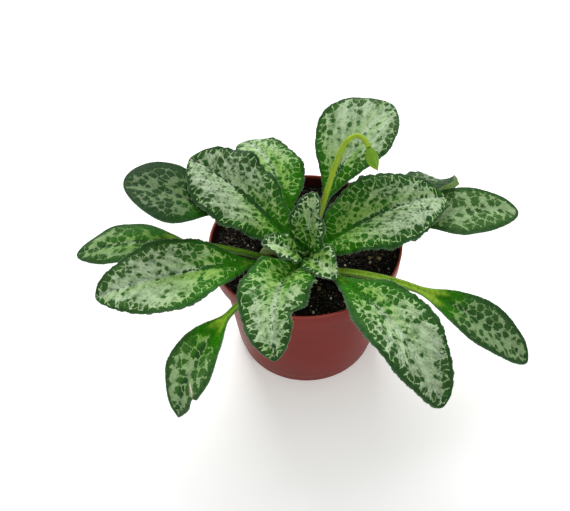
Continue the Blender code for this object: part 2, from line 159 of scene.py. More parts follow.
# Flower stalk and bud
FLOWER_STALK_PATH = [
    (0.4, -9.7, 78.0), (2.6, -8.1, 84.0), (5.2, -6.2, 92.0), (8.4, -4.0, 102.0), (12.4, 0.0, 114.0),
    (16.4, 5.0, 124.5), (20.3, 8.5, 131.0), (25.2, 9.8, 133.6), (28.6, 7.5, 133.2), (30.5, 4.0, 131.3),
]
BUD_PATH = [(30.55, 3.9, 131.1), (31.1, 3.1, 129.0), (32.3, 2.0, 125.2), (35.0, 0.0, 119.8)]
STUB_PATH = [(-3.0, -13.2, 73.0), (-10.0, -9.8, 75.0), (-17.0, -8.4, 76.3), (-24.0, -9.8, 75.8)]
FLOWER_STALK_RINGS = 110
BUD_RINGS = 57
STUB_RINGS = 40
STALK_ROOT_RADIUS = 1.6
STALK_TIP_RADIUS = 1.1
BUD_ROOT_RADIUS = 1.15
BUD_RADIUS = 2.7
BUD_TIP_RADIUS = 0.12
BUD_WIDEST = 0.42
BUD_TAPER = 1.05
BUD_RIBS = 5

# The leaves, the youngest one last.
# path: height of the leaf's root on the crown, its heading and rise there, how far it droops and sweeps
# by its tip, its roll and how far it twists. size: length with the stalk, the stalk's length and width,
# and the blade's width. outline: skew towards the left, widest place along the blade, and its taper
# towards the base and the tip. form: fold along the midrib, height and number of the edge's waves, and
# where they start on the left and right.
# kind: the pattern. silver: how much of the blade is pale; on some leaves a lower value on the half turned
# from the light partly paints its shade. margin: width of the green band along the edge. shade: brightness,
# partly painted light and shade: a leaf or half that faces the light is painted lighter, one turned from it
# darker. warm: how far up the blade the yellow-green of the stalk reaches.
# net: how fine the net is, the share of the margin where its veins begin, the share of the blade that
# keeps the stalk's own colour, and how light the green is. groove: half width of the green band along
# the midrib, and where it ends. relief: heights of the edge's flutter, of the outline's unevenness, of
# the swellings between side veins and of each half's arch. Where silver, margin, shade or warm is a
# pair, its first value is for the left side.
LEAVES = [
    dict(name="leaf_far_left_upper", path=(72.0, 154, 34, 16, 29, 2, 1), size=(95.0, 44.5, 3.4, 43.0),
         outline=(0.0, 0.56, 1.4, 0.52), form=(4, 0.1, 3, 315, 350), kind="sparse", silver=(0.42, 0.41),
         margin=(6.6, 10.4), shade=(0.56, 0.54), warm=0.45, net=(1.2, 0.6, 0.08, 0.0), groove=(1.0, 0.3),
         relief=(0.15, 0.1, 0.18, 0.9)),
    dict(name="leaf_left_upper", path=(78.0, 141, 40, 30, 8, 2, -10), size=(73.5, 3.0, 3.6, 43.5),
         outline=(0.0, 0.65, 0.9, 0.64), form=(2, 1.8, 4, 240, 200), kind="silver", silver=(0.86, 0.7),
         margin=(5.2, 7.6), shade=(0.93, 0.76), warm=0.6, net=(1.0, 0.34, 0.04, 0.2), groove=(3.0, 0.9),
         relief=(1.1, 0.55, 0.6, 1.8)),
    dict(name="leaf_back_left", path=(72.3, 101.8, 37, 72, 17, 2, -3), size=(91.5, 25.0, 3.6, 33.0),
         outline=(0.0, 0.38, 0.9, 0.62), form=(4, 1.1, 3, 160, 30), kind="silver", silver=(0.82, 0.84),
         margin=5.8, shade=1.02, warm=0.85, net=(1.0, 0.34, 0.03, 0.3), groove=(1.2, 0.6),
         relief=(0.8, 0.45, 0.45, 1.0)),
    dict(name="leaf_back_tall", path=(74.4, 63.4, 53, 32, -31, -3, -1), size=(87.5, 22.5, 3.6, 45.3),
         outline=(0.18, 0.68, 2.1, 0.62), form=(9, 0.5, 2.5, 100, 60), kind="broad", silver=(0.9, 0.84),
         margin=(5.4, 4.4), shade=1.0, warm=0.75, net=(1.0, 0.34, 0.02, 0.6), groove=(1.4, 0.6),
         relief=(0.3, 0.3, 0.3, 0.8)),
    dict(name="leaf_right_upper", path=(76.7, 18.3, 31, 51, 0, 0, 12), size=(78.3, 3.0, 3.6, 47.8),
         outline=(-0.03, 0.47, 0.9, 0.7), form=(9, 0.9, 4, 180, 10), kind="silver", silver=(0.68, 0.88),
         margin=(8.0, 5.4), shade=(0.88, 1.06), warm=(0.8, 0.6), net=(1.0, 0.32, 0.03, 0.2),
         groove=(2.3, 0.9), relief=(1.1, 0.7, 0.6, 1.8)),
    dict(name="leaf_right_rear", path=(72.3, 39, 27, 54, -21, -9, -14), size=(99.0, 34.5, 3.4, 28.0),
         outline=(0.08, 0.6, 1.7, 0.5), form=(0, 0.5, 3, 135, 35), kind="silver", silver=(0.66, 0.5),
         margin=(8.6, 12.5), shade=(0.6, 0.52), warm=0.4, net=(1.0, 0.7, 0.05, 0.3), groove=(1.0, 0.3),
         relief=(1.2, 0.9, 0.4, 0.6)),
    dict(name="leaf_far_right_upper", path=(69.3, 19.8, 17, 35, -13, 0, 10),
         size=(115.2, 50.0, 3.4, 31.4), outline=(-0.03, 0.48, 1.5, 0.58), form=(9, 0.3, 3, 135, 220),
         kind="sparse", silver=(0.5, 0.48), margin=5.0, shade=1.04, warm=0.2, net=(1.0, 0.6, 0.08, 0.7),
         groove=(0.6, 0.25), relief=(0.15, 0.12, 0.18, 0.8)),
    dict(name="leaf_left_middle", path=(69.3, 177, 27, 52, 0, 1, 0), size=(114.5, 57.5, 3.6, 26.6),
         outline=(-0.06, 0.56, 0.8, 0.62), form=(1, 0.4, 3, 205, 85), kind="sparse", silver=0.42,
         margin=(4.0, 4.8), shade=0.95, warm=0.7, net=(1.0, 0.6, 0.15, 0.5), groove=(0.8, 0.3),
         relief=(0.15, 0.12, 0.2, 0.6)),
    dict(name="leaf_left_lower", path=(73.8, 194, 19, 35, -1, -5, -7), size=(101.5, 21.5, 3.6, 39.4),
         outline=(0.17, 0.58, 1.1, 0.62), form=(13, 1.0, 3, 115, 125), kind="broad", silver=0.88,
         margin=(4.6, 5.6), shade=(1.14, 1.03), warm=(0.8, 0.5), net=(1.0, 0.55, 0.07, 0.6),
         groove=(2.8, 0.55), relief=(0.3, 0.55, 0.35, 1.0)),
    dict(name="leaf_front_left", path=(70.4, 219.4, 21, 99, 15, 4, -2), size=(107.0, 44.0, 3.6, 26.6),
         outline=(0.05, 0.5, 1.55, 0.89), form=(18, 0.6, 3, 40, 180), kind="sparse", silver=(0.43, 0.44),
         margin=(4.2, 3.8), shade=1.36, warm=0.5, net=(1.0, 0.5, 0.22, 0.8), groove=(1.0, 0.3),
         relief=(0.12, 0.12, 0.15, 0.6)),
    dict(name="leaf_front", path=(75.4, 237, 28, 55, 40, -5, 26), size=(67.5, 3.0, 3.4, 36.4),
         outline=(-0.02, 0.38, 0.74, 0.63), form=(18, 2.6, 3, 355, 275), kind="silver",
         silver=(0.86, 0.92), margin=(6.0, 5.6), shade=1.06, warm=0.7, net=(1.0, 0.3, 0.04, 0.3),
         groove=(1.8, 0.4), relief=(0.9, 0.5, 0.5, 1.4)),
    dict(name="leaf_right_lower", path=(74.0, 308.7, 25, 77, -7, -2, -1), size=(104.0, 18.0, 4.0, 36.8),
         outline=(0.02, 0.51, 1.4, 0.6), form=(18, 1.1, 3, 135, 205), kind="broad", silver=(0.9, 0.88),
         margin=(4.4, 4.8), shade=(1.15, 1.13), warm=(0.6, 0.5), net=(1.0, 0.7, 0.09, 0.3),
         groove=(3.4, 0.45), relief=(0.3, 0.5, 0.35, 1.0)),
    dict(name="leaf_far_right_lower", path=(69.5, 329.6, 26, 70, -1, 1, 5),
         size=(120.0, 52.0, 4.2, 24.2), outline=(-0.08, 0.57, 1.9, 0.58), form=(13, 0.3, 3, 155, 5),
         kind="sparse", silver=(0.44, 0.42), margin=(4.2, 3.4), shade=0.85, warm=0.4,
         net=(1.35, 0.6, 0.28, 0.4), groove=(1.0, 0.3), relief=(0.12, 0.12, 0.18, 0.6)),
    dict(name="young_leaf_upright", path=(81.3, 50, 80, 10, -7, -7, -6), size=(33.6, 1.0, 2.6, 24.2),
         outline=(-0.02, 0.36, 0.36, 0.62), form=(9, 0.8, 3, 355, 330), kind="young", silver=0.82,
         margin=3.8, shade=1.05, warm=0.7, net=(0.72, 0.3, 0.04, 0.2), groove=(0.8, 0.5),
         relief=(0.8, 0.5, 0.6, 0.9)),
    dict(name="young_leaf_left", path=(79.0, 205, 57, 36, -8, -15, -4), size=(27.0, 0.8, 2.2, 17.0),
         outline=(0.14, 0.38, 0.6, 0.71), form=(17, 1.2, 3, 270, 350), kind="young", silver=(0.92, 0.56),
         margin=(2.0, 2.6), shade=1.14, warm=0.7, net=(0.8, 0.3, 0.04, 0.4), groove=(0.5, 0.4),
         relief=(0.7, 0.4, 0.5, 0.7)),
    dict(name="young_leaf_right", path=(79.3, 297, 37, 48, 7, 19, 6), size=(27.5, 0.8, 2.2, 17.5),
         outline=(0.15, 0.38, 0.6, 0.62), form=(18, 0.4, 3, 290, 250), kind="young", silver=(0.82, 0.84),
         margin=2.2, shade=1.14, warm=0.9, net=(0.7, 0.3, 0.04, 0.2), groove=(0.5, 0.4),
         relief=(0.6, 0.4, 0.5, 0.7)),
    dict(name="youngest_leaf", path=(80.2, 262, 66, 26, 0, 0, 0), size=(8.0, 0.4, 1.2, 6.4),
         outline=(0.0, 0.5, 0.7, 0.6), form=(30, 0.2, 2, 0, 90), kind="young", silver=0.5, margin=1.2,
         shade=0.9, warm=0.9, net=(1.0, 0.2, 0.1, 0.3), groove=(0.3, 0.3), relief=(0.3, 0.2, 0.2, 0.4)),
]
YOUNGEST = "youngest_leaf"     # it has no solid

# By kind: how much the net's cells stretch outward, and how much less silver a blade is near its edge
LOOP_STRETCH = dict(silver=0.45, broad=0.25, sparse=0.0, young=0.2)
OUTER_LOSS = dict(silver=0.12, broad=0.5, young=0.0)
# How yellow a leaf's stalk is, by kind or for one leaf
STALK_TONES = dict(silver=0.08, broad=0.2, sparse=0.4, young=0.0, leaf_far_right_lower=0.8)
# How much less silver a leaf's tip is, and how much darker its painted shade makes the drooping tip
TIP_LOSS = dict(
    leaf_left_lower=(0.22, 0.10),
    leaf_right_lower=(0.20, 0.30),
    leaf_front_left=(0.22, 0.34),
    leaf_front=(0.28, 0.08),
)
# A tip's turn round its midrib, and its drop
CURLED_TIPS = dict(leaf_right_rear=(-66.0, 2.5))
# A notch in a leaf's edge: its side (1 left, -1 right), its place along the blade, its depth, and its
# reach before and after; a depth below 0 makes a swelling
NOTCHES = dict(
    leaf_front=(1.0, 43.5, 5.2, 2.4, 5.5),
    leaf_front_left=(1.0, 45.6, 2.6, 1.0, 4.5),
    leaf_right_upper=(-1.0, 23.0, 3.6, 9.0, 12.0),
    leaf_right_rear=(-1.0, 58.0, 3.6, 7.0, 9.0),
    leaf_left_lower=(-1.0, 36.0, -3.2, 20.0, 16.0),
)
SCAR_START = (45.0, 8.6)       # the healed tear by the notch: along and across the blade
SCAR_END = (39.8, 3.8)
SCAR_RINGS = 24

# Grains that stand out on the soil: x, y, size
PALE_GRAINS = [
    (32.6, -12.0, 2.0), (30.0, -17.9, 1.3), (19.8, -12.5, 1.3), (41.7, -16.3, 1.8), (1.7, -42.2, 1.5),
    (22.5, -10.7, 1.0), (-36.6, 2.3, 1.1), (-29.8, 4.0, 1.0), (11.0, -34.4, 1.2),
]
BROWN_GRAINS = [
    (37.4, -9.5, 3.0), (32.6, -9.2, 2.3), (19.3, -15.3, 1.9), (5.5, -28.0, 2.6), (9.3, -37.1, 1.6),
    (11.6, -40.3, 1.4), (-34.4, -16.4, 1.4), (-32.0, -12.5, 1.2), (6.0, -36.0, 1.2), (3.5, -40.5, 1.0),
    (14.5, -38.0, 1.1), (17.5, -35.0, 0.9), (8.0, -32.0, 1.0), (12.5, -30.5, 0.9), (19.5, -37.0, 1.1),
]


# Small helpers

def smooth(value, low, high):
    """0 at low, 1 at high and an even rise between them."""
    t = np.clip((value - low) / (high - low), 0.0, 1.0)
    return t * t * (3.0 - 2.0 * t)


def value_noise(x, y, seed):
    """Smooth random values from -1 to 1, one cell of a lattice for each unit."""
    table = np.random.default_rng(seed).uniform(-1.0, 1.0, (LATTICE, LATTICE))
    left = np.floor(x).astype(int)
    low = np.floor(y).astype(int)
    u = smooth(x - left, 0.0, 1.0)
    v = smooth(y - low, 0.0, 1.0)
    total = 0.0
    for row, weight in ((low, 1.0 - v), (low + 1, v)):
        near = table[left % LATTICE, row % LATTICE]
        far = table[(left + 1) % LATTICE, row % LATTICE]
        total = total + (near * (1.0 - u) + far * u) * weight
    return total


def layered_noise(x, y, seed, layers):
    """Value noise summed over finer and finer layers."""
    total = 0.0
    for layer in range(layers):
        total = total + value_noise(x * 2.0 ** layer, y * 2.0 ** layer, seed + layer) * 0.5 ** layer
    return total


def rise_and_fall(share, widest):
    """A rise from 0 to 1 up to the widest place, and a fall from 1 to 0 after it."""
    rise = np.sin(0.5 * math.pi * np.clip(share / widest, 0.0, 1.0))
    fall = np.cos(0.5 * math.pi * np.clip((share - widest) / (1.0 - widest), 0.0, 1.0))
    return rise, fall


def unit(vectors):
    """Vectors of length 1 in the same directions."""
    return vectors / np.maximum(np.linalg.norm(vectors, axis=-1), 1e-6)[..., None]


def resample(wanted, places, values):
    """Vectors at the wanted places, on straight lines between those at known places."""
    return np.stack([np.interp(wanted, places, values[:, axis]) for axis in range(3)], axis=-1)


def add_object(name, data):
    """A new object in the scene."""
    item = bpy.data.objects.new(name, data)
    bpy.context.scene.collection.objects.link(item)
    return item


def add_mesh(name, points, faces):
    """A new mesh object from points in millimetres."""
    mesh = bpy.data.meshes.new(name)
    mesh.from_pydata((np.asarray(points, dtype=float) * MM).tolist(), [], faces)
    return add_object(name, mesh)


def add_piece(name, points, faces, materials, replaced=None, face_materials=None):
    """A smooth mesh piece from points in millimetres, riding on the body."""
    piece = add_mesh(name, points, faces)
    piece.data.shade_smooth()
    for material in materials:
        piece.data.materials.append(material)
    if face_materials is not None:
        piece.data.polygons.foreach_set("material_index", face_materials)
    piece.data.update()
    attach(piece, "root")
    if replaced:
        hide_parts(replaced)
    return piece


def ring_points(radius, height, sides):
    """Points of a level circle round the pot's axis."""
    angles = np.linspace(0.0, 2.0 * math.pi, sides, endpoint=False)
    return np.stack([radius * np.cos(angles), radius * np.sin(angles), np.full(sides, height)], axis=1)


def skin(start, rings, end, from_top=False):
    """Points and faces of a row of rings with a fan at each end, for rings from the bottom or the top."""
    sides = len(rings[0])
    points = np.vstack([start, *rings, end])
    last = 1 + (len(rings) - 1) * sides
    faces = []
    for side in range(sides):
        after = (side + 1) % sides
        faces.append((0, 1 + after, 1 + side))
        for ring in range(1, last, sides):
            faces.append((ring + side, ring + after, ring + sides + after, ring + sides + side))
        faces.append((last + side, last + after, len(points) - 1))
    if from_top:
        faces = [(face[0], *face[:0:-1]) for face in faces]
    return points, faces


def lathe(profile, sides):
    """Points and faces of a profile turned round +Z; it starts and ends on the axis."""
    rings = [ring_points(radius, height, sides) for radius, height in profile[1:-1]]
    return skin((0.0, 0.0, profile[0][1]), rings, (0.0, 0.0, profile[-1][1]))


def smooth_path(guides, count):
    """Points at even spacing on a Catmull-Rom curve through the guides."""
    guides = np.array(guides, dtype=float)
    padded = np.vstack([2.0 * guides[0] - guides[1], guides, 2.0 * guides[-1] - guides[-2]])
    dense = []
    for start in range(len(guides) - 1):
        before, first, second, after = padded[start:start + 4]
        for t in np.arange(20) / 20.0:
            dense.append(0.5 * (2.0 * first + (second - before) * t
                                + (2.0 * before - 5.0 * first + 4.0 * second - after) * t ** 2
                                + (3.0 * first - before - 3.0 * second + after) * t ** 3))
    dense = np.array([*dense, guides[-1]])
    distance = np.concatenate([[0.0], np.cumsum(np.linalg.norm(np.diff(dense, axis=0), axis=1))])
    return resample(np.linspace(0.0, distance[-1], count), distance, dense)


def tube(path, radii, sides, swell=None):
    """A closed tube along a path; swell gives its radius a factor from ring share and angle."""
    angles = np.linspace(0.0, 2.0 * math.pi, sides, endpoint=False)[:, None]
    across = np.array([1.0, 0.0, 0.0])
    rings = []
    for ring, direction in enumerate(unit(np.gradient(path, axis=0))):
        across = unit(across - direction * np.dot(across, direction))
        third = np.cross(direction, across)
        radius = radii[ring] * (swell(ring / (len(path) - 1), angles) if swell else 1.0)
        rings.append(path[ring] + radius * (across * np.cos(angles) + third * np.sin(angles)))
    return skin(path[0], rings, path[-1])


# Materials

class Value:
    """What a node gives; a sum or product with it makes a node of its own."""

    def __init__(self, nodes, socket):
        self.nodes = nodes
        self.socket = socket

    def __add__(self, other):
        return self.nodes.math("ADD", self, other)

    def __sub__(self, other):
        return self.nodes.math("SUBTRACT", self, other)

    def __rsub__(self, other):
        return self.nodes.math("SUBTRACT", other, self)

    def __mul__(self, other):
        return self.nodes.math("MULTIPLY", self, other)

    __radd__ = __add__
    __rmul__ = __mul__


class Nodes:
    """A short way to write a material's nodes; an argument is a number, a tuple or a Value."""

    def __init__(self, name, roughness, specular):
        self.material = bpy.data.materials.new(name)
        self.material.use_nodes = True
        self.tree = self.material.node_tree
        self.shader = self.tree.nodes["Principled BSDF"]
        self.shader.inputs["Roughness"].default_value = roughness
        self.shader.inputs["Specular IOR Level"].default_value = specular

    def put(self, socket, value):
        """Link a value to a socket, or set the socket to a number or tuple."""
        if isinstance(value, Value):
            self.tree.links.new(value.socket, socket)
        elif isinstance(value, tuple) and len(value) == 3 and len(socket.default_value) == 4:
            socket.default_value = (*value, 1.0)
        else:
            socket.default_value = value

    def add(self, kind, inputs=None, **settings):
        """A new node with its settings and inputs, the inputs by number or name."""
        node = self.tree.nodes.new("ShaderNode" + kind)
        for setting, value in settings.items():
            setattr(node, setting, value)
        for key, value in (inputs or {}).items():
            self.put(node.inputs[key], value)
        return node

    def attribute(self, name):
        return Value(self, self.add("Attribute", attribute_name=name).outputs["Vector"])

    def place(self):
        return Value(self, self.add("NewGeometry").outputs["Position"])

    def axes(self, vector):
        """The three parts of a vector or colour."""
        return [Value(self, socket) for socket in self.add("SeparateXYZ", {0: vector}).outputs]

    def vector(self, x, y, z=0.0):
        return Value(self, self.add("CombineXYZ", {0: x, 1: y, 2: z}).outputs[0])

    def math(self, operation, *values):
        return Value(self, self.add("Math", dict(enumerate(values)), operation=operation).outputs[0])

    def vector_math(self, operation, first, second):
        key = "Scale" if operation == "SCALE" else 1
        return Value(self, self.add("VectorMath", {0: first, key: second}, operation=operation).outputs[0])

    def mapped(self, value, low, high, new_low=0.0, new_high=1.0):
        """A smooth step from new_low, where the value is low, to new_high, where it is high."""
        inputs = dict(enumerate((value, low, high, new_low, new_high)))
        return Value(self, self.add("MapRange", inputs, interpolation_type="SMOOTHSTEP").outputs[0])

    def mix(self, factor, first, second, blend="MIX"):
        inputs = {0: factor, 6: first, 7: second}
        return Value(self, self.add("Mix", inputs, data_type="RGBA", blend_type=blend).outputs[2])

    def shaded(self, colour, brightness):
        return self.mix(1.0, colour, self.vector(brightness, brightness, brightness), "MULTIPLY")

    def noise(self, vector, scale, detail=2.0, flat=False, output="Fac"):
        inputs = {"Vector": vector, "Scale": scale, "Detail": detail}
        node = self.add("TexNoise", inputs, noise_dimensions="2D" if flat else "3D")
        return Value(self, node.outputs[output])

    def pushed(self, vector, place, scale, detail, amount):
        """A flat vector, pushed aside by noise at a place, by up to half the amount."""
        push = self.noise(place, scale, detail, True, "Color")
        push = self.vector_math("SUBTRACT", push, (0.5, 0.5, 0.5))
        return self.vector_math("ADD", vector, self.vector_math("SCALE", push, amount))

    def borders(self, vector, scale):
        """Distance from the nearest border of a flat cell pattern."""
        inputs = {"Vector": vector, "Scale": scale}
        node = self.add("TexVoronoi", inputs, voronoi_dimensions="2D", feature="DISTANCE_TO_EDGE")
        return Value(self, node.outputs["Distance"])

    def centres(self, vector, scale, flat=True):
        """Distance from the nearest cell centre, and a random value for each cell."""
        inputs = {"Vector": vector, "Scale": scale}
        node = self.add("TexVoronoi", inputs, voronoi_dimensions="2D" if flat else "3D")
        return Value(self, node.outputs["Distance"]), self.axes(Value(self, node.outputs["Color"]))[0]

    def bump(self, height, distance, strength):
        inputs = {"Height": height, "Distance": distance * MM, "Strength": strength}
        self.tree.links.new(self.add("Bump", inputs).outputs[0], self.shader.inputs["Normal"])

    def colour(self, value):
        self.put(self.shader.inputs["Base Color"], value)
        return self.material


def leaf_top_material(name, cell, islands, veins, marks, pale, pale_warm, vein_pale):
    """The upper face: rounded green islands in a pale haze, under a net of thin bright veins.

    Cell is the net's size. An island's radius, as a share of the cell, starts at open_radius and
    shrinks by closing as the blade turns silver; it varies by variety from island to island and by
    unrest from place to place, and its edge blurs by softness. Vein_share is half a vein's width, as a
    share of the cell; vein_loss is how far the veins fade where the blade is silver. Speck is the
    strength of the dark dots, and brushing that of the streaks.
    """
    open_radius, closing, variety, unrest, softness = islands
    vein_share, vein_loss = veins
    speck, brushing = marks
    n = Nodes(name, roughness=0.5, specular=0.06)
    place = n.attribute("leaf_place")
    silver, warm, edge = n.axes(n.attribute("leaf_tone"))
    x, y, fresh = n.axes(n.attribute("leaf_vein"))
    # The leaf's brightness, partly painted light and shade, scales its greens and pales.
    shade = n.axes(place)[2]
    patches = n.noise(n.vector(x * 0.13, y * 0.22), 1.0, 2.0, True) - 0.5
    streak = n.noise(n.vector(x * 0.5, y * 0.72), 1.0, 4.0, True) - 0.5
    feather = n.noise(place, 1.1, 3.0, True) - 0.5
    clouds = n.noise(place, 0.26, 2.0, True) - 0.5

    bent = n.pushed(n.pushed(place, place, 1.0, 2.0, 0.45 * cell), place, 0.25, 1.0, 2.4)
    border = n.borders(bent, 1.0 / cell)
    centre, chance = n.centres(bent, 1.0 / cell)
    radius = open_radius - silver * closing + (chance - 0.5) * variety
    radius = radius + patches * (1.3 * unrest) + feather * (0.6 * unrest)
    soft = silver * softness + 0.03
    haze = 1.0 - n.mapped(centre, radius - soft, radius + soft, 1.0, 0.0)
    if speck:
        dot_centre, dot_chance = n.centres(bent, 1.0 / DOT_SPACING)
        dot_size = dot_chance * 0.6 - 0.12 + patches * 0.9
        haze = haze * (1.0 - n.mapped(dot_centre, dot_size - 0.16, dot_size + 0.16, speck, 0.0))
    strength = silver * 0.3 + 0.5 + streak * brushing + feather * (0.8 * unrest)
    strength = strength - patches * (0.9 * unrest) - clouds * (1.3 * unrest)
    strength = n.math("MINIMUM", n.math("MAXIMUM", strength, 0.2), 1.0)
    there = n.mapped(silver, 0.02, 0.12)
    haze = haze * strength * there
    half_vein = (n.noise(place, 0.55, 1.0, True) - 0.5) * (2.2 * vein_share) + vein_share
    half_vein = n.math("MAXIMUM", half_vein, 0.012)
    vein = n.mapped(border, half_vein * 0.5, half_vein * 1.7, 1.0, 0.0)
    vein = vein * (1.0 - n.mapped(silver, 0.25, 0.75, 0.0, vein_loss)) * there

    # Fresh is lowered along the midrib's fold, where the green is darkened as painted shade
    inner = n.mapped(edge, 1.5, 4.0, 0.35, 1.0) * fresh
    greens = n.mix(inner, (0.016, 0.057, 0.014), (0.053, 0.128, 0.029))
    greens = n.mix(n.mapped(warm, 0.0, 0.4), greens, (0.018, 0.125, 0.001))
    greens = n.mix(n.mapped(warm, 0.5, 0.9), greens, (0.20, 0.36, 0.023))
    greens = n.shaded(greens, n.mapped(n.noise(place, 0.5, 2.0, True), 0.3, 0.7, 0.8, 1.22))
    greens = n.shaded(greens, shade * 0.6 + 0.4)
    # Painted highlight: the outermost millimetre of the edge is mixed towards a pale grey-green, for the rim
    # that catches the light
    greens = n.mix(n.mapped(edge, 0.1, 0.9, 0.5, 0.0), greens, (0.075, 0.16, 0.075))
    pales = n.mix(n.mapped(warm, 0.02, 0.42), pale, pale_warm)
    net = n.mix(n.mapped(warm, 0.02, 0.42, 0.3, 0.8), vein_pale, pale_warm)
    both = n.mix(haze, greens, n.shaded(pales, shade))
    both = n.mix(vein * 0.9, both, n.shaded(net, shade))
    n.bump(n.mapped(border, 0.0, 0.25) * 0.7 + feather, 0.12, 0.7)
    return n.colour(both)


def leaf_under_material():
    """The lower face: pale olive green, its veins a little paler."""
    n = Nodes("leaf_underside", roughness=0.55, specular=0.25)
    place = n.attribute("leaf_place")
    warm = n.axes(n.attribute("leaf_tone"))[1]
    veins = n.mapped(n.borders(place, 0.4), 0.0, 0.12, 1.0, 0.0)
    olive = n.mix(n.noise(place, 0.3, 3.0, True), (0.10, 0.20, 0.03), (0.155, 0.26, 0.05))
    olive = n.mix(veins * 0.45, olive, (0.22, 0.33, 0.09))
    olive = n.mix(n.mapped(warm, 0.3, 1.0), olive, (0.22, 0.35, 0.035))
    n.bump(veins, 0.12, 0.6)
    return n.colour(olive)


def stem_material(name, low, high, foot, top):
    """A juicy stem: its colour runs from low to high between two heights, with fine lengthwise streaks."""
    n = Nodes(name, roughness=0.42, specular=0.14)
    place = n.place()
    x, y, z = n.axes(place)
    streak = n.noise(n.vector(x, y, z * 0.15), 2600.0)
    colour = n.mix(n.mapped(z, foot * MM, top * MM), low, high)
    for unevenness in (streak, n.noise(place, 260.0)):
        colour = n.shaded(colour, n.mapped(unevenness, 0.3, 0.7, 0.92, 1.06))
    n.bump(streak, 0.06, 0.5)
    return n.colour(colour)


def hair_material():
    """Pale fine hairs."""
    n = Nodes("leaf_hair", roughness=0.6, specular=0.3)
    return n.colour(n.mix(n.noise(n.place(), 300.0, 1.0), (0.42, 0.56, 0.36), (0.62, 0.70, 0.52)))


def pot_material():
    """Moulded clay-red plastic: a faint orange peel, soft scuffs and dust, a painted highlight along the top
    of the rim, and painted shade on the inside of the rim.
    """
    n = Nodes("pot_plastic", roughness=0.45, specular=0.08)
    place = n.place()
    x, y, z = n.axes(place)

    def from_height(low, high, new_low, new_high):
        return n.mapped(z, low * MM, high * MM, new_low, new_high)

    broad = n.noise(place, 28.0, 3.0)
    rings = n.noise(n.vector(x, y, z * 6.0), 60.0, 3.0)
    colour = n.mix(n.mapped(broad, 0.3, 0.7), (0.178, 0.0245, 0.0195), (0.202, 0.029, 0.023))
    colour = n.mix(n.mapped(rings, 0.35, 0.75, 0.0, 0.35), colour, (0.155, 0.022, 0.018))
    # Painted highlight: the top 1.4 mm of the rim is paler
    painted_lip_highlight = from_height(POT_HEIGHT - 1.4, POT_HEIGHT - 0.1, 0.0, 0.55)
    colour = n.mix(painted_lip_highlight, colour, (0.44, 0.085, 0.063))
    # Painted shade: the inside of the rim, above the soil and under the leaves, is darkened to near black
    from_axis = n.math("SQRT", x * x + y * y)
    painted_rim_shade = n.mapped(from_axis, (RIM_INSIDE + 0.3) * MM, (RIM_RADIUS - 0.8) * MM, 1.0, 0.0)
    painted_rim_shade = painted_rim_shade * from_height(POT_HEIGHT - 2.5, POT_HEIGHT - 0.3, 0.9, 0.0)
    painted_rim_shade = painted_rim_shade * from_height(SHOULDER, SHOULDER + 1.0, 0.0, 1.0)
    colour = n.mix(painted_rim_shade, colour, (0.030, 0.007, 0.006))
    dust = n.mapped(n.noise(place, 900.0, 3.0), 0.5, 0.75) * from_height(2.0, 16.0, 0.22, 0.0)
    colour = n.mix(dust, colour, (0.30, 0.20, 0.15))
    n.put(n.shader.inputs["Roughness"], n.mapped(broad, 0.3, 0.7, 0.36, 0.46))
    n.bump(n.noise(place, 2400.0), 0.02, 0.4)
    return n.colour(colour)


def peat_material():
    """Moist dark peat with brown and pale specks."""
    n = Nodes("peat", roughness=0.85, specular=0.12)
    place = n.place()
    clods = n.mapped(n.noise(place, 420.0, 4.0), 0.35, 0.7)
    specks = n.mapped(n.centres(place, 1500.0, flat=False)[1], 0.92, 0.96, 0.0, 0.8)
    colour = n.mix(clods, (0.0018, 0.0016, 0.0013), (0.0075, 0.0058, 0.0036))
    n.bump(n.noise(place, 2600.0, 3.0), 0.25, 0.8)
    return n.colour(n.mix(specks, colour, (0.14, 0.10, 0.05)))


def grain_material(name, dark, light):
    """Small mineral or peat grains, each of a slightly different tint."""
    n = Nodes(name, roughness=0.8, specular=0.25)
    place = n.place()
    n.bump(n.noise(place, 3800.0), 0.12, 0.8)
    return n.colour(n.mix(n.mapped(n.noise(place, 330.0), 0.35, 0.65), dark, light))


def floor_material():
    """White, and a little brighter than the light alone makes it."""
    n = Nodes("floor", roughness=0.7, specular=0.2)
    n.shader.inputs["Emission Color"].default_value = (1.0, 1.0, 1.0, 1.0)
    n.shader.inputs["Emission Strength"].default_value = 0.2
    return n.colour(n.mix(n.noise(n.place(), 6.0), (0.93, 0.93, 0.93), (0.95, 0.95, 0.95)))


# Leaves

def crown_radius(height):
    """Radius of the crown at a height."""
    heights, radii = zip(*CROWN_PROFILE)
    return float(np.interp(height, heights, radii))


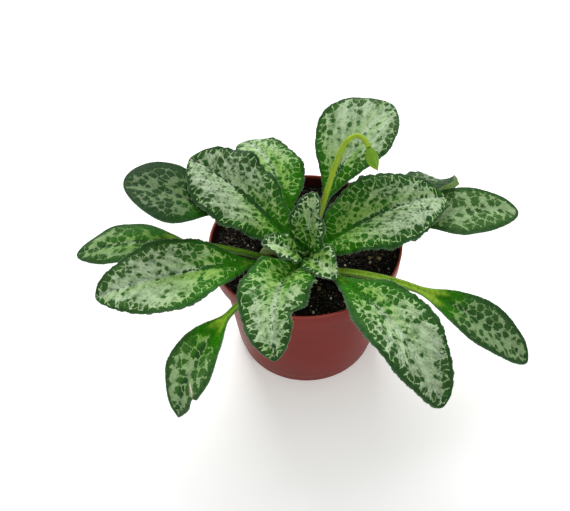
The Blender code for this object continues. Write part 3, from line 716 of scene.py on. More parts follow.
def leaf_axis(leaf):
    """Follow a leaf's midrib: places, side directions and upward normals along it."""
    height, heading, rise, droop, sweep, roll, twist = leaf["path"]
    share = np.linspace(0.0, 1.0, AXIS_STEPS + 1)
    slope = np.radians(rise - droop * share ** DROOP_POWER)
    turn = np.radians(heading + sweep * share)
    along = np.stack([np.cos(slope) * np.cos(turn), np.cos(slope) * np.sin(turn), np.sin(slope)], axis=1)
    steps = 0.5 * (along[1:] + along[:-1]) * leaf["size"][0] / AXIS_STEPS
    out = crown_radius(height) + GAP + BLADE_HALF * math.sin(math.radians(rise))
    root = np.array([CROWN_X + out * math.cos(turn[0]), CROWN_Y + out * math.sin(turn[0]), height])
    places = root + np.vstack([np.zeros(3), np.cumsum(steps, axis=0)])
    sideways = np.stack([-np.sin(turn), np.cos(turn), np.zeros_like(turn)], axis=1)
    upward = np.cross(along, sideways)
    tip_turn, tip_drop = CURLED_TIPS.get(leaf["name"], (0.0, 0.0))
    places[:, 2] -= tip_drop * smooth(share, 0.8, 1.0)
    lean = np.radians(roll + twist * share + tip_turn * smooth(share, 0.82, 0.98))[:, None]
    side = sideways * np.cos(lean) + upward * np.sin(lean)
    normal = upward * np.cos(lean) - sideways * np.sin(lean)
    return share, places, side, normal


def half_width(leaf, blade, left):
    """Half the leaf's width: the stalk's, flowing into the blade's oval outline."""
    skew, widest, base_taper, tip_taper = leaf["outline"]
    stalk_width, width = leaf["size"][2:]
    rise, fall = rise_and_fall(blade, widest)
    outline = np.where(blade < widest, rise ** base_taper, fall ** tip_taper)
    stalk = 0.5 * stalk_width * (1.0 - blade ** 2)
    return np.sqrt(stalk ** 2 + (0.5 * width * outline) ** 2) * (1.0 + left * skew * np.sin(math.pi * blade))


class LeafGrid:
    """Rows and columns of points over a leaf: how far each lies along, across and from the edge."""

    def __init__(self, leaf, seed):
        length, stalk, stalk_width, width = leaf["size"]
        self.young = leaf["kind"] == "young"
        stalk_rows = 6 if self.young else int(stalk / STALK_ROW) + 2
        blade_rows = int((length - stalk) / (YOUNG_ROW if self.young else GROWN_ROW))
        half_columns = int(np.clip(width / COLUMN_WIDTH, 14, 28))
        start = stalk / length
        on_stalk = np.linspace(0.0, start, stalk_rows + 1)[:-1]
        on_blade = 1.0 - np.linspace(1.0, 0.0, blade_rows + 1) ** 1.25
        self.stations = np.concatenate([on_stalk, start + (1.0 - start) * on_blade])
        even = np.linspace(-1.0, 1.0, 2 * half_columns + 1)
        column = 0.4 * even + 0.6 * np.sin(0.5 * math.pi * even)
        shape = (len(self.stations), len(column))
        blade = np.clip((self.stations - start) / (1.0 - start), 0.0, 1.0)
        self.blade = np.broadcast_to(blade[:, None], shape)
        self.along = np.broadcast_to((self.stations * length - stalk)[:, None], shape)
        self.reach = np.abs(column)
        self.left = np.where(column > 0.0, 1.0, -1.0)
        self.width = half_width(leaf, self.blade, self.left)
        if leaf["name"] in NOTCHES:
            side, notch, depth, before, after = NOTCHES[leaf["name"]]
            cut = np.exp(-((self.along - notch) / np.where(self.along < notch, before, after)) ** 2)
            self.width = self.width - depth * cut * (self.left == side)
        self.across = column * (self.width + self.edge_relief(leaf["relief"][1], seed))
        self.distance = np.abs(self.across)
        self.edge = self.width - np.minimum(self.distance, self.width)

    def edge_relief(self, lobes, seed):
        """Small rounded teeth and an uneven line of lobes along the edge."""
        along = self.along
        left = self.left
        on_edge = smooth(self.blade, 0.03, 0.14) * smooth(self.blade, 1.0, 0.97)
        tooth_turn = along / TOOTH_PITCH + 0.5 * value_noise(along / 5.0, left * 3.3, seed + 40) + 0.3 * left
        tooth = np.abs(np.sin(math.pi * tooth_turn)) ** 0.7 - 0.6
        lobe_turn = along / LOBE_PITCH + 0.35 * value_noise(along / 9.0, left * 6.1, seed + 45) + 0.4 * left
        lobe = np.abs(np.sin(math.pi * lobe_turn)) ** 0.8 - 0.6
        uneven = lobes * (1.1 * lobe + layered_noise(along / 5.5, left * 7.7, seed + 41, 2))
        tooth_height = TOOTH_HEIGHT + UNEVEN_TOOTH_HEIGHT * lobes
        return on_edge * (tooth_height * tooth * self.reach ** 12 + uneven * self.reach ** 3)

    def pick(self, value):
        """The value, or the first of a pair on the left side and its second on the right."""
        on_left, on_right = np.broadcast_to(value, 2)
        return np.where(self.left > 0.0, on_left, on_right)


def leaf_lift(leaf, grid, seed):
    """The form: fold and waves as in the solids, then arch, flutter, side veins and swellings."""
    fold, wave, waves, left_phase, right_phase = leaf["form"]
    ruffle, lobes, puff, bulge = leaf["relief"]
    blade, along, distance, reach = grid.blade, grid.along, grid.distance, grid.reach
    envelope = np.sqrt(np.sin(math.pi * blade))
    ripple = np.sin(2.0 * math.pi * waves * blade + np.radians(grid.pick((left_phase, right_phase))))
    creased = np.sqrt(distance ** 2 + CREASE_ROUND ** 2) - CREASE_ROUND
    lift = creased * math.sin(math.radians(fold)) + wave * envelope * reach ** WAVE_POWER * ripple
    flat_share = np.clip(grid.width / (0.5 * leaf["size"][3]), 0.0, 1.0) * smooth(blade, 0.0, 0.12)
    lift = lift + bulge * flat_share * (4.0 * reach * (1.0 - reach) - 0.25 * reach ** 4)
    flutter = layered_noise(along / 4.2, grid.left * 5.1, seed + 42, 2)
    lift = lift + ruffle * envelope * flutter * reach ** 4
    spacing = YOUNG_VEIN_SPACING if grid.young else VEIN_SPACING
    vein_line = along - VEIN_SLANT * distance + 0.25 * grid.left * spacing
    vein_line = vein_line + 0.9 * value_noise(along / 9.0, distance / 6.0, seed + 43)
    between = 2.0 * np.abs((vein_line / spacing) % 1.0 - 0.5)
    inside = smooth(reach, 0.03, 0.25) * smooth(reach, 1.0, 0.86) * flat_share
    dimple = layered_noise(vein_line / 1.7, distance / 2.1 * grid.left, seed + 44, 2)
    return lift + puff * inside * (0.45 - between ** 2 + 0.35 * dimple)


def leaf_points(leaf, grid, seed):
    """A leaf's upper and lower points.

    The midrib is sunk above and stands out below; the stalk is round below and channelled above.
    """
    blade = grid.blade
    distance = grid.distance
    stalkness = 1.0 - smooth(blade, 0.0, 0.28)
    groove = GROOVE_DEPTH * (1.0 - blade) ** 2 * np.exp(-(distance / (0.9 + 0.7 * (1.0 - blade))) ** 2)
    groove = groove * smooth(blade, 0.0, 0.1)
    round_edge = np.sqrt(1.0 - (1.0 - np.clip(grid.edge / EDGE_ROUND, 0.0, 1.0)) ** 2)
    round_stalk = np.sqrt(np.clip(1.0 - grid.reach ** 2, 0.0, 1.0))
    channel = CHANNEL_DEPTH * np.exp(-(distance / CHANNEL_WIDTH) ** 2)
    top = FINE_HALF * round_edge - groove * (1.0 - stalkness)
    top = top + stalkness * (STALK_ROUND * round_stalk - channel)
    rib = RIB_DEPTH * leaf["size"][2] / FULL_STALK_WIDTH * (1.0 - RIB_FADE * blade)
    narrow_rib = np.exp(-(grid.across / (RIB_WIDTH * (1.0 - 0.35 * blade))) ** 2)
    bottom = FINE_HALF * round_edge
    bottom = bottom + rib * (stalkness * round_stalk + (1.0 - stalkness) * narrow_rib * round_edge)

    share, *lines = leaf_axis(leaf)
    place, side, normal = [resample(grid.stations, share, line)[:, None, :] for line in lines]
    level = grid.across * math.cos(math.radians(leaf["form"][0]))
    middle = place + side * level[..., None] + normal * leaf_lift(leaf, grid, seed)[..., None]
    return middle + normal * top[..., None], middle - normal * bottom[..., None]


def leaf_tone(leaf, grid, seed):
    """How silver and how warm each point of a blade is."""
    kind = leaf["kind"]
    blade, along, across, distance, edge = grid.blade, grid.along, grid.across, grid.distance, grid.edge
    fineness, net_start, petiole, fresh = leaf["net"]
    groove, groove_end = leaf["groove"]
    side = np.sign(across)
    margin = grid.pick(leaf["margin"]) * (1.2 - 0.65 * blade)
    margin = margin * (1.0 + 0.3 * layered_noise(along / 6.0, side * 4.4, seed + 50, 2))
    inward = edge + 0.7 * layered_noise(along / 2.2, distance / 2.2 + side * 9.0, seed + 53, 2)
    broad = layered_noise(along / 11.0, across / 8.0, seed + 51, 2)
    level = grid.pick(leaf["silver"]) * (1.0 + 0.16 * broad)
    if kind == "sparse":
        silver = level * smooth(inward, net_start * margin, 1.3 * margin)
    else:
        level = level * (0.8 + 0.28 * smooth(blade, 0.15, 0.7))
        level = level * (1.0 - TIP_LOSS.get(leaf["name"], (0.0, 0.0))[0] * smooth(blade, 0.55, 0.95))
        level = level * (1.0 - OUTER_LOSS[kind] * (1.0 - smooth(inward, 1.1 * margin, 2.9 * margin)))
        silver = VEIN_SILVER * smooth(edge, net_start * margin, (net_start + 0.14) * margin)
        silver = silver + (level - VEIN_SILVER) * smooth(inward, 0.75 * margin, 1.5 * margin)
    dark_band = groove * np.clip(1.0 - blade / groove_end, 0.0, 1.0) + 0.02
    dark_band = dark_band * (1.0 + 0.5 * value_noise(along / 2.5, side * 2.2, seed + 52))
    banded = smooth(blade, groove_end, 0.6 * groove_end)
    silver = silver * (1.0 - banded * (1.0 - smooth(distance, 0.5 * dark_band, 1.5 * dark_band)))
    silver = silver * smooth(blade + 0.03 * broad, petiole, petiole + 0.16)
    reach = grid.pick(leaf["warm"])
    warm = 0.6 * np.exp(-(blade / (0.12 + 0.5 * reach)) ** 1.5) * (0.7 + 0.3 * reach)
    warm = np.minimum(warm + 0.22 * reach * smooth(distance, 9.0, 0.0), 0.5)
    warm = warm * (0.5 + 0.5 * smooth(edge, 0.5, 3.0))
    tone = STALK_TONES.get(leaf["name"], STALK_TONES[kind])
    warm = warm + tone * (1.0 - smooth(blade, 0.3 * petiole, 1.6 * petiole + 0.04))
    return np.clip(silver, 0.0, 1.0), np.clip(warm, 0.0, 1.0)


def leaf_reads(leaf, grid, seed):
    """What the material reads: net coordinates along the side veins, brightness with painted light and shade,
    silver and warmth.
    """
    fineness, net_start, petiole, fresh = leaf["net"]
    band = 1.2 * grid.pick(leaf["margin"])
    squeeze = LOOP_STRETCH[leaf["kind"]] * np.clip(band - grid.edge, 0.0, band)
    squeeze = squeeze * smooth(grid.distance, 0.5, 5.0)
    net_x = fineness * (grid.across - grid.left * squeeze) + NET_STEP[0] * seed
    net_y = fineness * grid.along + NET_STEP[1] * seed
    # Painted shade: a drooping tip is painted darker, on top of the brightness of each side
    painted_tip_shade = TIP_LOSS.get(leaf["name"], (0.0, 0.0))[1]
    shade = grid.pick(leaf["shade"]) * (1.0 - painted_tip_shade * smooth(grid.blade, 0.45, 1.0))
    silver, warm = leaf_tone(leaf, grid, seed)
    # Painted shade in the fold along the midrib: a darker, less warm green there
    painted_crease_shade = np.exp(-(grid.distance / CREASE_SHADE_WIDTH) ** 2) * smooth(grid.blade, 0.1, 0.4)
    return dict(
        leaf_place=np.stack([net_x, net_y, shade], axis=2),
        leaf_vein=np.stack([net_x, net_y - VEIN_SLANT * grid.distance, fresh * (1.0 - painted_crease_shade)], axis=2),
        leaf_tone=np.stack([silver, warm * (1.0 - 0.8 * painted_crease_shade), np.clip(grid.edge, 0.0, 20.0)], axis=2),
    )


def leaf_faces(rows, columns):
    """Faces over an upper and a lower grid that share their edge and tip, and 0 or 1 for the material.

    The upper points come first, then the lower ones without the edge's, and the tip's last. Every
    face looks outward.
    """
    lower_start = rows * columns
    tip = lower_start + rows * (columns - 2)

    def below(row, column):
        if column in (0, columns - 1):
            return row * columns + column
        return lower_start + row * (columns - 2) + column - 1

    faces = []
    kinds = []
    for row in range(rows - 1):
        for column in range(columns - 1):
            a = row * columns + column
            b = below(row, column)
            faces.append((a + 1, a, a + columns, a + columns + 1))
            faces.append((below(row + 1, column), b, below(row, column + 1), below(row + 1, column + 1)))
            kinds.extend((0, 1))
    last = rows - 1
    for column in range(columns - 1):
        a = last * columns + column
        faces.append((a + 1, a, tip))
        faces.append((tip, below(last, column), below(last, column + 1)))
        kinds.extend((0, 1))
        if 0 < column < columns - 2:
            faces.append((below(0, column), column, column + 1, below(0, column + 1)))
            kinds.append(0)
    faces.append((below(0, 1), 0, 1))
    faces.append((below(0, columns - 2), columns - 2, columns - 1))
    return faces, [*kinds, 0, 0]


def make_leaf(leaf, seed, materials, replaced):
    """One leaf as a closed mesh; its upper and lower grids share the points of the edge."""
    grid = LeafGrid(leaf, seed)
    upper, lower = leaf_points(leaf, grid, seed)
    rows = upper.shape[0] - 1
    middle = upper.shape[1] // 2
    upper[:rows, (0, -1)] = 0.5 * (upper[:rows, (0, -1)] + lower[:rows, (0, -1)])
    tip = 0.5 * (upper[rows, middle] + lower[rows, middle])
    points = np.vstack([upper[:rows].reshape(-1, 3), lower[:rows, 1:-1].reshape(-1, 3), tip])
    faces, kinds = leaf_faces(rows, upper.shape[1])
    piece = add_piece(leaf["name"] + "_blade", points, faces, materials, replaced, kinds)
    for name, reads in leaf_reads(leaf, grid, seed).items():
        values = [reads[:rows].reshape(-1, 3), reads[:rows, 1:-1].reshape(-1, 3), reads[rows, middle]]
        layer = piece.data.attributes.new(name, "FLOAT_VECTOR", "POINT")
        layer.data.foreach_set("vector", np.vstack(values).astype(np.float32).ravel())
    return upper, lower, grid


def make_leaves():
    """Every leaf, dressed by its kind; gives the grids of those that replace a solid."""
    white = (0.43, 0.55, 0.36)
    warm_white = (0.25, 0.44, 0.09)
    tops = dict(
        silver=leaf_top_material("leaf_silver", 3.0, (1.08, 1.22, 0.65, 0.75, 0.16), (0.042, 0.7),
                                 (0.8, 0.8), white, warm_white, (0.50, 0.70, 0.34)),
        broad=leaf_top_material("leaf_broad", 3.3, (1.06, 1.14, 0.75, 0.9, 0.17), (0.038, 0.6),
                                (0.35, 0.9), white, warm_white, (0.46, 0.62, 0.34)),
        sparse=leaf_top_material("leaf_sparse", 5.0, (1.0, 1.25, 0.45, 0.5, 0.05), (0.032, 0.3),
                                 (0.0, 0.6), (0.30, 0.43, 0.22), (0.2, 0.38, 0.06), (0.30, 0.43, 0.21)),
        young=leaf_top_material("leaf_young", 2.2, (1.0, 0.95, 0.55, 1.0, 0.12), (0.07, 0.4),
                                (0.35, 1.2), (0.38, 0.52, 0.28), warm_white, (0.72, 0.86, 0.60)),
    )
    under = leaf_under_material()
    grids = {}
    for number, leaf in enumerate(LEAVES, 1):
        name = leaf["name"]
        replaced = None if name == YOUNGEST else name
        made = make_leaf(leaf, number, [tops[leaf["kind"]], under], replaced)
        if replaced:
            grids[name] = made
    return grids


def make_scar(upper, grid, material):
    """The healed tear in the front left leaf, as a thin ridge that lies on the blade."""
    share = np.linspace(0.0, 1.0, SCAR_RINGS)
    along = SCAR_START[0] + (SCAR_END[0] - SCAR_START[0]) * share
    across = SCAR_START[1] + (SCAR_END[1] - SCAR_START[1]) * share + 0.25 * np.sin(5.0 * share)
    path = []
    for wanted_along, wanted_across in zip(along, across):
        row = int(np.argmin(np.abs(grid.along[:, 0] - wanted_along)))
        path.append(resample(wanted_across, grid.across[row], upper[row]))
    radii = 0.08 + 0.42 * np.sin(math.pi * (0.06 + 0.91 * share)) ** 0.7
    points, faces = tube(np.array(path), radii, 10)
    add_piece("leaf_front_left_scar", points, faces, [material])


# Flower stalk, bud and crown

def make_flower_stalk(material):
    """The arched flower stalk, a little swollen under the bud; gives its path and radii."""
    share = np.linspace(0.0, 1.0, FLOWER_STALK_RINGS)
    path = smooth_path(FLOWER_STALK_PATH, FLOWER_STALK_RINGS)
    radii = STALK_ROOT_RADIUS + (STALK_TIP_RADIUS - STALK_ROOT_RADIUS) * share
    radii = radii * (1.0 + 0.10 * smooth(share, 0.94, 1.0))
    radii = radii * (1.0 + 0.03 * value_noise(share * 30.0, 0.0 * share, 5))
    points, faces = tube(path, radii, 28, lambda ring, angle: 1.0 + 0.035 * np.cos(3.0 * angle + 5.0 * ring))
    add_piece("flower_stalk_arch", points, faces, [material], "flower_stalk")
    return path, radii


def make_flower_bud(material):
    """The bud in its calyx: five keeled sepals that meet in seams and close to a point."""
    share = np.linspace(0.0, 1.0, BUD_RINGS)
    rise, fall = rise_and_fall(share, BUD_WIDEST)
    near_root = BUD_ROOT_RADIUS + (BUD_RADIUS - BUD_ROOT_RADIUS) * rise
    near_tip = BUD_TIP_RADIUS + (BUD_RADIUS - BUD_TIP_RADIUS) * fall ** BUD_TAPER
    radii = np.where(share < BUD_WIDEST, near_root, near_tip)

    def sepals(ring, angle):
        turn = (BUD_RIBS * angle / (2.0 * math.pi) + 0.5) % 1.0 - 0.5
        keel = np.exp(-(turn / 0.13) ** 2)
        seam = np.exp(-((0.5 - np.abs(turn)) / 0.06) ** 2)
        strength = min(1.0, 3.0 * ring) * min(1.0, 3.0 * (1.0 - ring) + 0.3)
        return 1.0 + strength * (0.22 * keel - 0.13 * seam)

    points, faces = tube(smooth_path(BUD_PATH, BUD_RINGS), radii, 80, sepals)
    add_piece("flower_bud_calyx", points, faces, [material], "flower_bud")


def make_stub(material):
    """A short olive leaf base that is left on the crown."""
    share = np.linspace(0.0, 1.0, STUB_RINGS)
    radii = 0.9 + smooth(share, 0.3, 0.8) - 1.6 * smooth(share, 0.86, 1.0)
    path = smooth_path(STUB_PATH, STUB_RINGS)
    points, faces = tube(path, radii, 24, lambda ring, angle: 1.0 + 0.25 * np.cos(2.0 * angle))
    add_piece("leaf_base_stub", points, faces, [material])


def make_crown(material):
    """The crown, with the bulges of the leaf bases it carries."""
    heights = np.linspace(CROWN_PROFILE[0][0], CROWN_PROFILE[-1][0], CROWN_RINGS)
    path = np.array([(CROWN_X, CROWN_Y, height) for height in heights])
    radii = [crown_radius(height) for height in heights]
    points, faces = tube(path, radii, 48, lambda ring, angle: 1.0 + 0.05 * np.sin(5.0 * angle + 19.0 * ring))
    add_piece("crown_stem", points, faces, [material], "crown")


def make_hairs(grids, stalk_path, stalk_radii, material):
    """Short hairs along the leaf edges, the leaf stalks and the flower stalk, as thin spikes."""
    random = np.random.default_rng(11)
    roots = []
    tips = []
    for upper, lower, grid in grids.values():
        rows = upper.shape[0] - 2
        for column, neighbour in ((0, 2), (-1, -3)):
            line = upper[:rows, column]
            outward = unit(line - 0.5 * (upper[:rows, neighbour] + lower[:rows, neighbour]))
            for repeat in range(2):
                shift = random.uniform(0.0, 1.0, rows - 1)[:, None]
                root = line[:-1] * (1.0 - shift) + line[1:] * shift
                aim = unit(outward[:-1] + random.normal(0.0, 0.35, (rows - 1, 3)))
                roots.append(root - 0.05 * aim)
                tips.append(root + aim * random.uniform(0.25, 0.75, rows - 1)[:, None])
    spot = random.integers(2, len(stalk_path) - 1, STALK_HAIRS)
    aim = random.normal(0.0, 1.0, (STALK_HAIRS, 3))
    direction = unit(np.gradient(stalk_path, axis=0)[spot])
    aim = unit(aim - direction * np.sum(aim * direction, axis=1)[:, None])
    root = stalk_path[spot] + direction * random.uniform(-0.4, 0.4, STALK_HAIRS)[:, None]
    root = root + aim * (0.97 * stalk_radii[spot])[:, None]
    roots = np.vstack([*roots, root])
    tips = np.vstack([*tips, root + aim * random.uniform(0.3, 0.7, STALK_HAIRS)[:, None]])
    along = unit(tips - roots)
    first = unit(np.cross(along, np.array([0.3, 0.5, 0.81])))
    second = np.cross(along, first)
    corners = []
    for angle in np.arange(3) * 2.0 * math.pi / 3.0:
        corners.append(roots + HAIR_HALF * (first * math.cos(angle) + second * math.sin(angle)))
    points = np.stack([*corners, tips], axis=1).reshape(-1, 3)
    base = 4 * np.arange(len(roots))[:, None]
    faces = np.concatenate([base + np.array(order) for order in ((0, 1, 3), (1, 2, 3), (2, 0, 3), (0, 2, 1))])
    add_piece("leaf_hairs", points, faces.tolist(), [material])


# Pot and soil

def body_radius(height):
    """Outside radius of the pot's body."""
    return BASE_RADIUS + (SHOULDER_RADIUS - BASE_RADIUS) * height / SHOULDER


def make_pot(material):
    """The pot, turned from one profile, with round corners and drain holes."""
    foot = BASE_RADIUS - FOOT_STEP
    waist = body_radius(FOOT_HEIGHT)
    body = body_radius(SHOULDER)
    band = RIM_RADIUS - RIM_LEAN
    inner_band = RIM_RADIUS - POT_WALL
    floor = body_radius(BASE_THICKNESS) - POT_WALL
    ledge = SHOULDER + POT_WALL
    outside = [
        (0.0, 0.0), (30.0, 0.0), (foot - 0.9, 0.0), (foot - 0.3, 0.2), (foot - 0.05, 0.8), (foot + 0.1, 1.6),
        (waist - FOOT_STEP, FOOT_HEIGHT - 0.2), (waist - FOOT_STEP + 0.1, FOOT_HEIGHT),
        (waist - 0.1, FOOT_HEIGHT + 0.45), (body_radius(FOOT_HEIGHT + 1.0), FOOT_HEIGHT + 1.0),
        (body_radius(30.0), 30.0), (body_radius(50.0), 50.0), (body_radius(SHOULDER - 0.8), SHOULDER - 0.8),
        (body + 0.15, SHOULDER - 0.15), (body + 0.8, SHOULDER), (band - 0.6, SHOULDER),
        (band - 0.12, SHOULDER + 0.15), (band, SHOULDER + 0.6), (RIM_RADIUS - 0.25, POT_HEIGHT - 3.0),
        (RIM_RADIUS, POT_HEIGHT - 0.6), (RIM_RADIUS - 0.08, POT_HEIGHT - 0.25),
        (RIM_RADIUS - 0.35, POT_HEIGHT - 0.03), (RIM_RADIUS - 0.6, POT_HEIGHT),
    ]
    inside = [
        (RIM_RADIUS - 0.9, POT_HEIGHT - 0.05), (inner_band, POT_HEIGHT - 0.5),
        (inner_band - 0.3, POT_HEIGHT - 4.0), (inner_band - 0.5, ledge + 0.4), (inner_band - 0.9, ledge),
        (body - POT_WALL + 0.4, ledge), (body - POT_WALL, ledge - 0.4), (body_radius(20.0) - POT_WALL, 20.0),
        (floor, BASE_THICKNESS + 1.0), (floor - 1.0, BASE_THICKNESS), (0.0, BASE_THICKNESS),
    ]
    points, faces = lathe(outside + inside, POT_SIDES)
    piece = add_piece("pot_shell", points, faces, [material], "pot")
    for number in range(DRAIN_HOLES):
        angle = 2.0 * math.pi * (number + 0.5) / DRAIN_HOLES
        points, faces = lathe([(0.0, -2.0), (DRAIN_RADIUS, -2.0), (DRAIN_RADIUS, 4.0), (0.0, 4.0)], 32)
        offset = np.array([DRAIN_RING_RADIUS * math.cos(angle), DRAIN_RING_RADIUS * math.sin(angle), 0.0])
        cutter = add_mesh("drain_cutter", points + offset, faces)
        cut = piece.modifiers.new("drain_hole", "BOOLEAN")
        cut.operation = "DIFFERENCE"
        cut.solver = "EXACT"
        cut.object = cutter
        bpy.context.view_layer.objects.active = piece
        bpy.ops.object.modifier_apply(modifier=cut.name)
        bpy.data.objects.remove(cutter, do_unlink=True)
    piece.data.set_sharp_from_angle(angle=math.radians(35.0))


def soil_height(x, y):
    """Height of the soil's crumbly top."""
    from_crown = np.sqrt((x - CROWN_X) ** 2 + (y - CROWN_Y) ** 2)
    dish = SOIL_DISH * np.clip(1.0 - from_crown / 45.0, 0.0, 1.0) ** 3
    broad = 0.9 * layered_noise(x / 9.0 + 20.0, y / 9.0 + 20.0, 70, 2)
    lumps = 0.55 * layered_noise(x / 2.6 + 50.0, y / 2.6 + 50.0, 72, 3)
    crumbs = 0.9 * np.maximum(layered_noise(x / 1.3 + 90.0, y / 1.3 + 90.0, 76, 2), 0.0) ** 2
    calm = 1.0 - 0.6 * smooth(np.sqrt(x ** 2 + y ** 2), 42.0, 48.0)
    return SOIL_LEVEL - dish + (broad + lumps + crumbs) * calm


def make_soil(material):
    """The soil: a fine crumbly top over the plain body that fills the pot."""
    wall = RIM_INSIDE - 0.2
    rings = []
    for number in range(1, SOIL_RINGS + 1):
        ring = ring_points(wall * (number / SOIL_RINGS) ** 0.85, 0.0, SOIL_SIDES)
        ring[:, 2] = soil_height(ring[:, 0], ring[:, 1])
        rings.append(ring)
    ledge = SHOULDER + POT_WALL + GAP
    inner = body_radius(SHOULDER) - POT_WALL - GAP
    floor = BASE_THICKNESS + GAP
    floor_radius = body_radius(BASE_THICKNESS) - POT_WALL - GAP - 1.0
    for radius, height in ((wall, ledge), (inner, ledge), (inner, SHOULDER), (floor_radius, floor)):
        rings.append(ring_points(radius, height, SOIL_SIDES))
    points, faces = skin((0.0, 0.0, soil_height(0.0, 0.0)), rings, (0.0, 0.0, floor), from_top=True)
    add_piece("soil_fill", points, faces, [material], "soil")


def lump_shape():
    """Points and faces of a unit ball with 42 points."""
    ball = bpy.data.meshes.new("lump")
    work = bmesh.new()
    bmesh.ops.create_icosphere(work, subdivisions=2, radius=1.0)
    work.to_mesh(ball)
    work.free()
    points = np.array([vertex.co[:] for vertex in ball.vertices])
    faces = np.array([face.vertices[:] for face in ball.polygons])
    bpy.data.meshes.remove(ball)
    return points, faces


def random_spots(count, sizes, seed):
    """Places and sizes of grains spread over the soil, clear of the crown."""
    random = np.random.default_rng(seed)
    spots = []
    while len(spots) < count:
        radius = (RIM_INSIDE - 1.5) * math.sqrt(random.uniform(0.0, 1.0))
        angle = random.uniform(0.0, 2.0 * math.pi)
        x = radius * math.cos(angle)
        y = radius * math.sin(angle)
        if math.hypot(x - CROWN_X, y - CROWN_Y) > CROWN_CLEARANCE:
            spots.append((x, y, random.uniform(*sizes)))
    return spots


def scatter(name, spots, squash, seed, material):
    """Irregular grains lying on the soil."""
    random = np.random.default_rng(seed)
    ball, ball_faces = lump_shape()
    points = []
    faces = []
    for number, (x, y, size) in enumerate(spots):
        rough = value_noise(ball[:, 0] * 1.6 + number, ball[:, 1] * 1.6 + ball[:, 2] * 1.1, seed + 1)
        shape = ball * (1.0 + 0.32 * rough)[:, None] * np.array([1.0, random.uniform(0.6, 1.0), squash])
        turn = Matrix.Rotation(random.uniform(0.0, 6.28), 3, "Z")
        turn = turn @ Matrix.Rotation(random.uniform(-0.6, 0.6), 3, "X")
        shape = shape @ np.array(turn).T * 0.5 * size
        points.append(shape + np.array([x, y, soil_height(x, y) + 0.12 * size]))
        faces.extend((ball_faces + number * len(ball)).tolist())
    add_piece(name, np.vstack(points), faces, [material])


def make_fibres(material):
    """Thin peat fibres lying on the soil."""
    random = np.random.default_rng(31)
    points = []
    faces = []
    for number in range(FIBRES):
        radius = FIBRE_AREA * math.sqrt(random.uniform(0.0, 1.0))
        angle = random.uniform(0.0, 2.0 * math.pi)
        heading = random.uniform(0.0, 2.0 * math.pi)
        bend = random.uniform(-0.35, 0.35)
        length = random.uniform(3.0, 8.0)
        x = radius * math.cos(angle)
        y = radius * math.sin(angle)
        path = []
        for step in range(FIBRE_STEPS):
            path.append((x, y, soil_height(x, y) + 0.35 + 0.5 * math.sin(step * 0.4 + number)))
            heading += bend
            x += length / FIBRE_STEPS * math.cos(heading)
            y += length / FIBRE_STEPS * math.sin(heading)
            if math.hypot(x, y) > FIBRE_LIMIT:
                break
        if len(path) < 4:
            continue
        tube_points, tube_faces = tube(smooth_path(path, 20), np.full(20, random.uniform(0.07, 0.16)), 6)
        faces.extend(tuple(corner + len(points) for corner in face) for face in tube_faces)
        points.extend(tube_points)
    add_piece("peat_fibres", points, faces, [material])


# Stage, light and camera

def make_floor():
    """A plain white floor."""
    corners_xy = ((-1, -1), (1, -1), (1, 1), (-1, 1))
    points = [(FLOOR_HALF * x, FLOOR_HALF * y, 0.0) for x, y in corners_xy]
    floor = add_mesh("floor", points, [(0, 1, 2, 3)])
    floor.data.materials.append(floor_material())
    floor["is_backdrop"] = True


def add_light(name, place, size, power):
    """A soft square light in metres and watts, turned to the plant."""
    light = bpy.data.lights.new(name, "AREA")
    light.shape = "SQUARE"
    light.size = size
    light.energy = power
    item = add_object(name, light)
    item.location = place
    item.rotation_euler = (Vector(LIGHT_TARGET) - Vector(place)).to_track_quat("-Z", "Y").to_euler()


def make_lights():
    """White surroundings, a broad light from behind and a weak one from the front."""
    world = bpy.data.worlds.new("studio")
    world.use_nodes = True
    background = world.node_tree.nodes["Background"]
    background.inputs["Color"].default_value = (1.0, 1.0, 1.0, 1.0)
    background.inputs["Strength"].default_value = SURROUNDINGS
    bpy.context.scene.world = world
    for name, place, size, power in LIGHTS:
        add_light(name, place, size, power)
    bpy.context.scene.view_settings.view_transform = "Standard"
    bpy.context.scene.view_settings.look = "None"


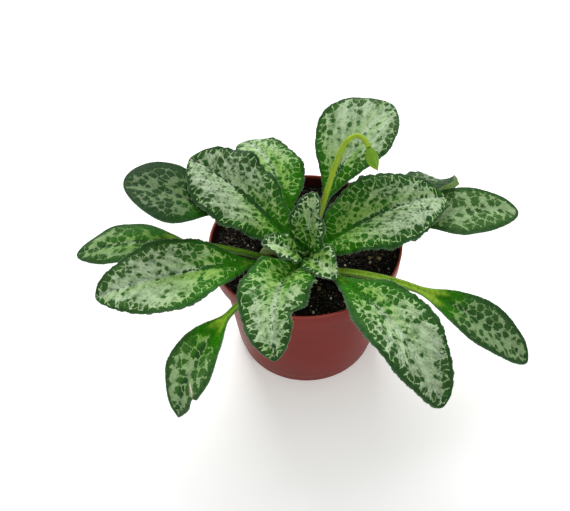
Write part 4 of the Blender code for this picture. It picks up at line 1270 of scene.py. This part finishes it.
def make_camera():
    """The photograph's camera, placed round the middle of the pot's rim."""
    elevation = math.radians(VIEW_ELEVATION)
    roll = math.radians(VIEW_ROLL)
    back = np.array([0.0, -math.cos(elevation), math.sin(elevation)])
    level = np.array([1.0, 0.0, 0.0])
    steep = np.cross(back, level)
    right = math.cos(roll) * level + math.sin(roll) * steep
    up = math.cos(roll) * steep - math.sin(roll) * level
    place = np.array([0.0, 0.0, POT_HEIGHT]) + back * VIEW_DISTANCE + right * VIEW_RIGHT + up * VIEW_UP
    data = bpy.data.cameras.new("camera")
    data.sensor_fit = "HORIZONTAL"
    data.sensor_width = SENSOR_WIDTH
    data.lens = 0.5 * SENSOR_WIDTH / math.tan(math.radians(0.5 * VIEW_WIDTH))
    data.clip_start = 0.01
    camera = add_object("camera", data)
    columns = np.stack([right, up, back, place * MM], axis=1)
    camera.matrix_world = Matrix([*columns.tolist(), (0.0, 0.0, 0.0, 1.0)])
    bpy.context.scene.camera = camera


def corners():
    """Two corners of the box round all that is there now."""
    low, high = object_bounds()
    return [list(low), list(high)]


def main():
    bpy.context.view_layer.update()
    make_camera()
    make_floor()
    make_lights()
    make_pot(pot_material())
    make_soil(peat_material())
    crumb = grain_material("peat_crumb", (0.0024, 0.0018, 0.0014), (0.011, 0.0078, 0.0045))
    scatter("peat_crumbs", random_spots(CRUMBS, (0.7, 2.4), 21), 0.7, 23, crumb)
    bark = grain_material("bark_grain", (0.10, 0.09, 0.04), (0.24, 0.19, 0.10))
    scatter("bark_grains", BROWN_GRAINS + random_spots(BARK_GRAINS, (0.4, 1.2), 24), 0.7, 25, bark)
    pearl = grain_material("perlite_grain", (0.30, 0.26, 0.18), (0.68, 0.66, 0.58))
    scatter("perlite", PALE_GRAINS + random_spots(PERLITE_GRAINS, (0.25, 0.8), 22), 0.8, 26, pearl)
    make_fibres(grain_material("peat_fibre", (0.05, 0.03, 0.015), (0.14, 0.09, 0.045)))
    make_crown(stem_material("crown_green", (0.03, 0.06, 0.012), (0.025, 0.10, 0.010), 66.0, 80.0))
    make_stub(stem_material("stub_green", (0.12, 0.20, 0.03), (0.30, 0.38, 0.12), 73.0, 75.5))
    grids = make_leaves()
    upper, lower, grid = grids["leaf_front_left"]
    make_scar(upper, grid, stem_material("scar_cream", (0.40, 0.27, 0.12), (0.78, 0.72, 0.58), 57.0, 60.0))
    green = stem_material("flower_stalk_green", (0.20, 0.19, 0.012), (0.28, 0.42, 0.02), 78.0, 112.0)
    stalk_path, stalk_radii = make_flower_stalk(green)
    make_flower_bud(stem_material("bud_green", (0.42, 0.44, 0.04), (0.16, 0.33, 0.018), 119.0, 124.5))
    make_hairs(grids, stalk_path, stalk_radii, hair_material())


main()
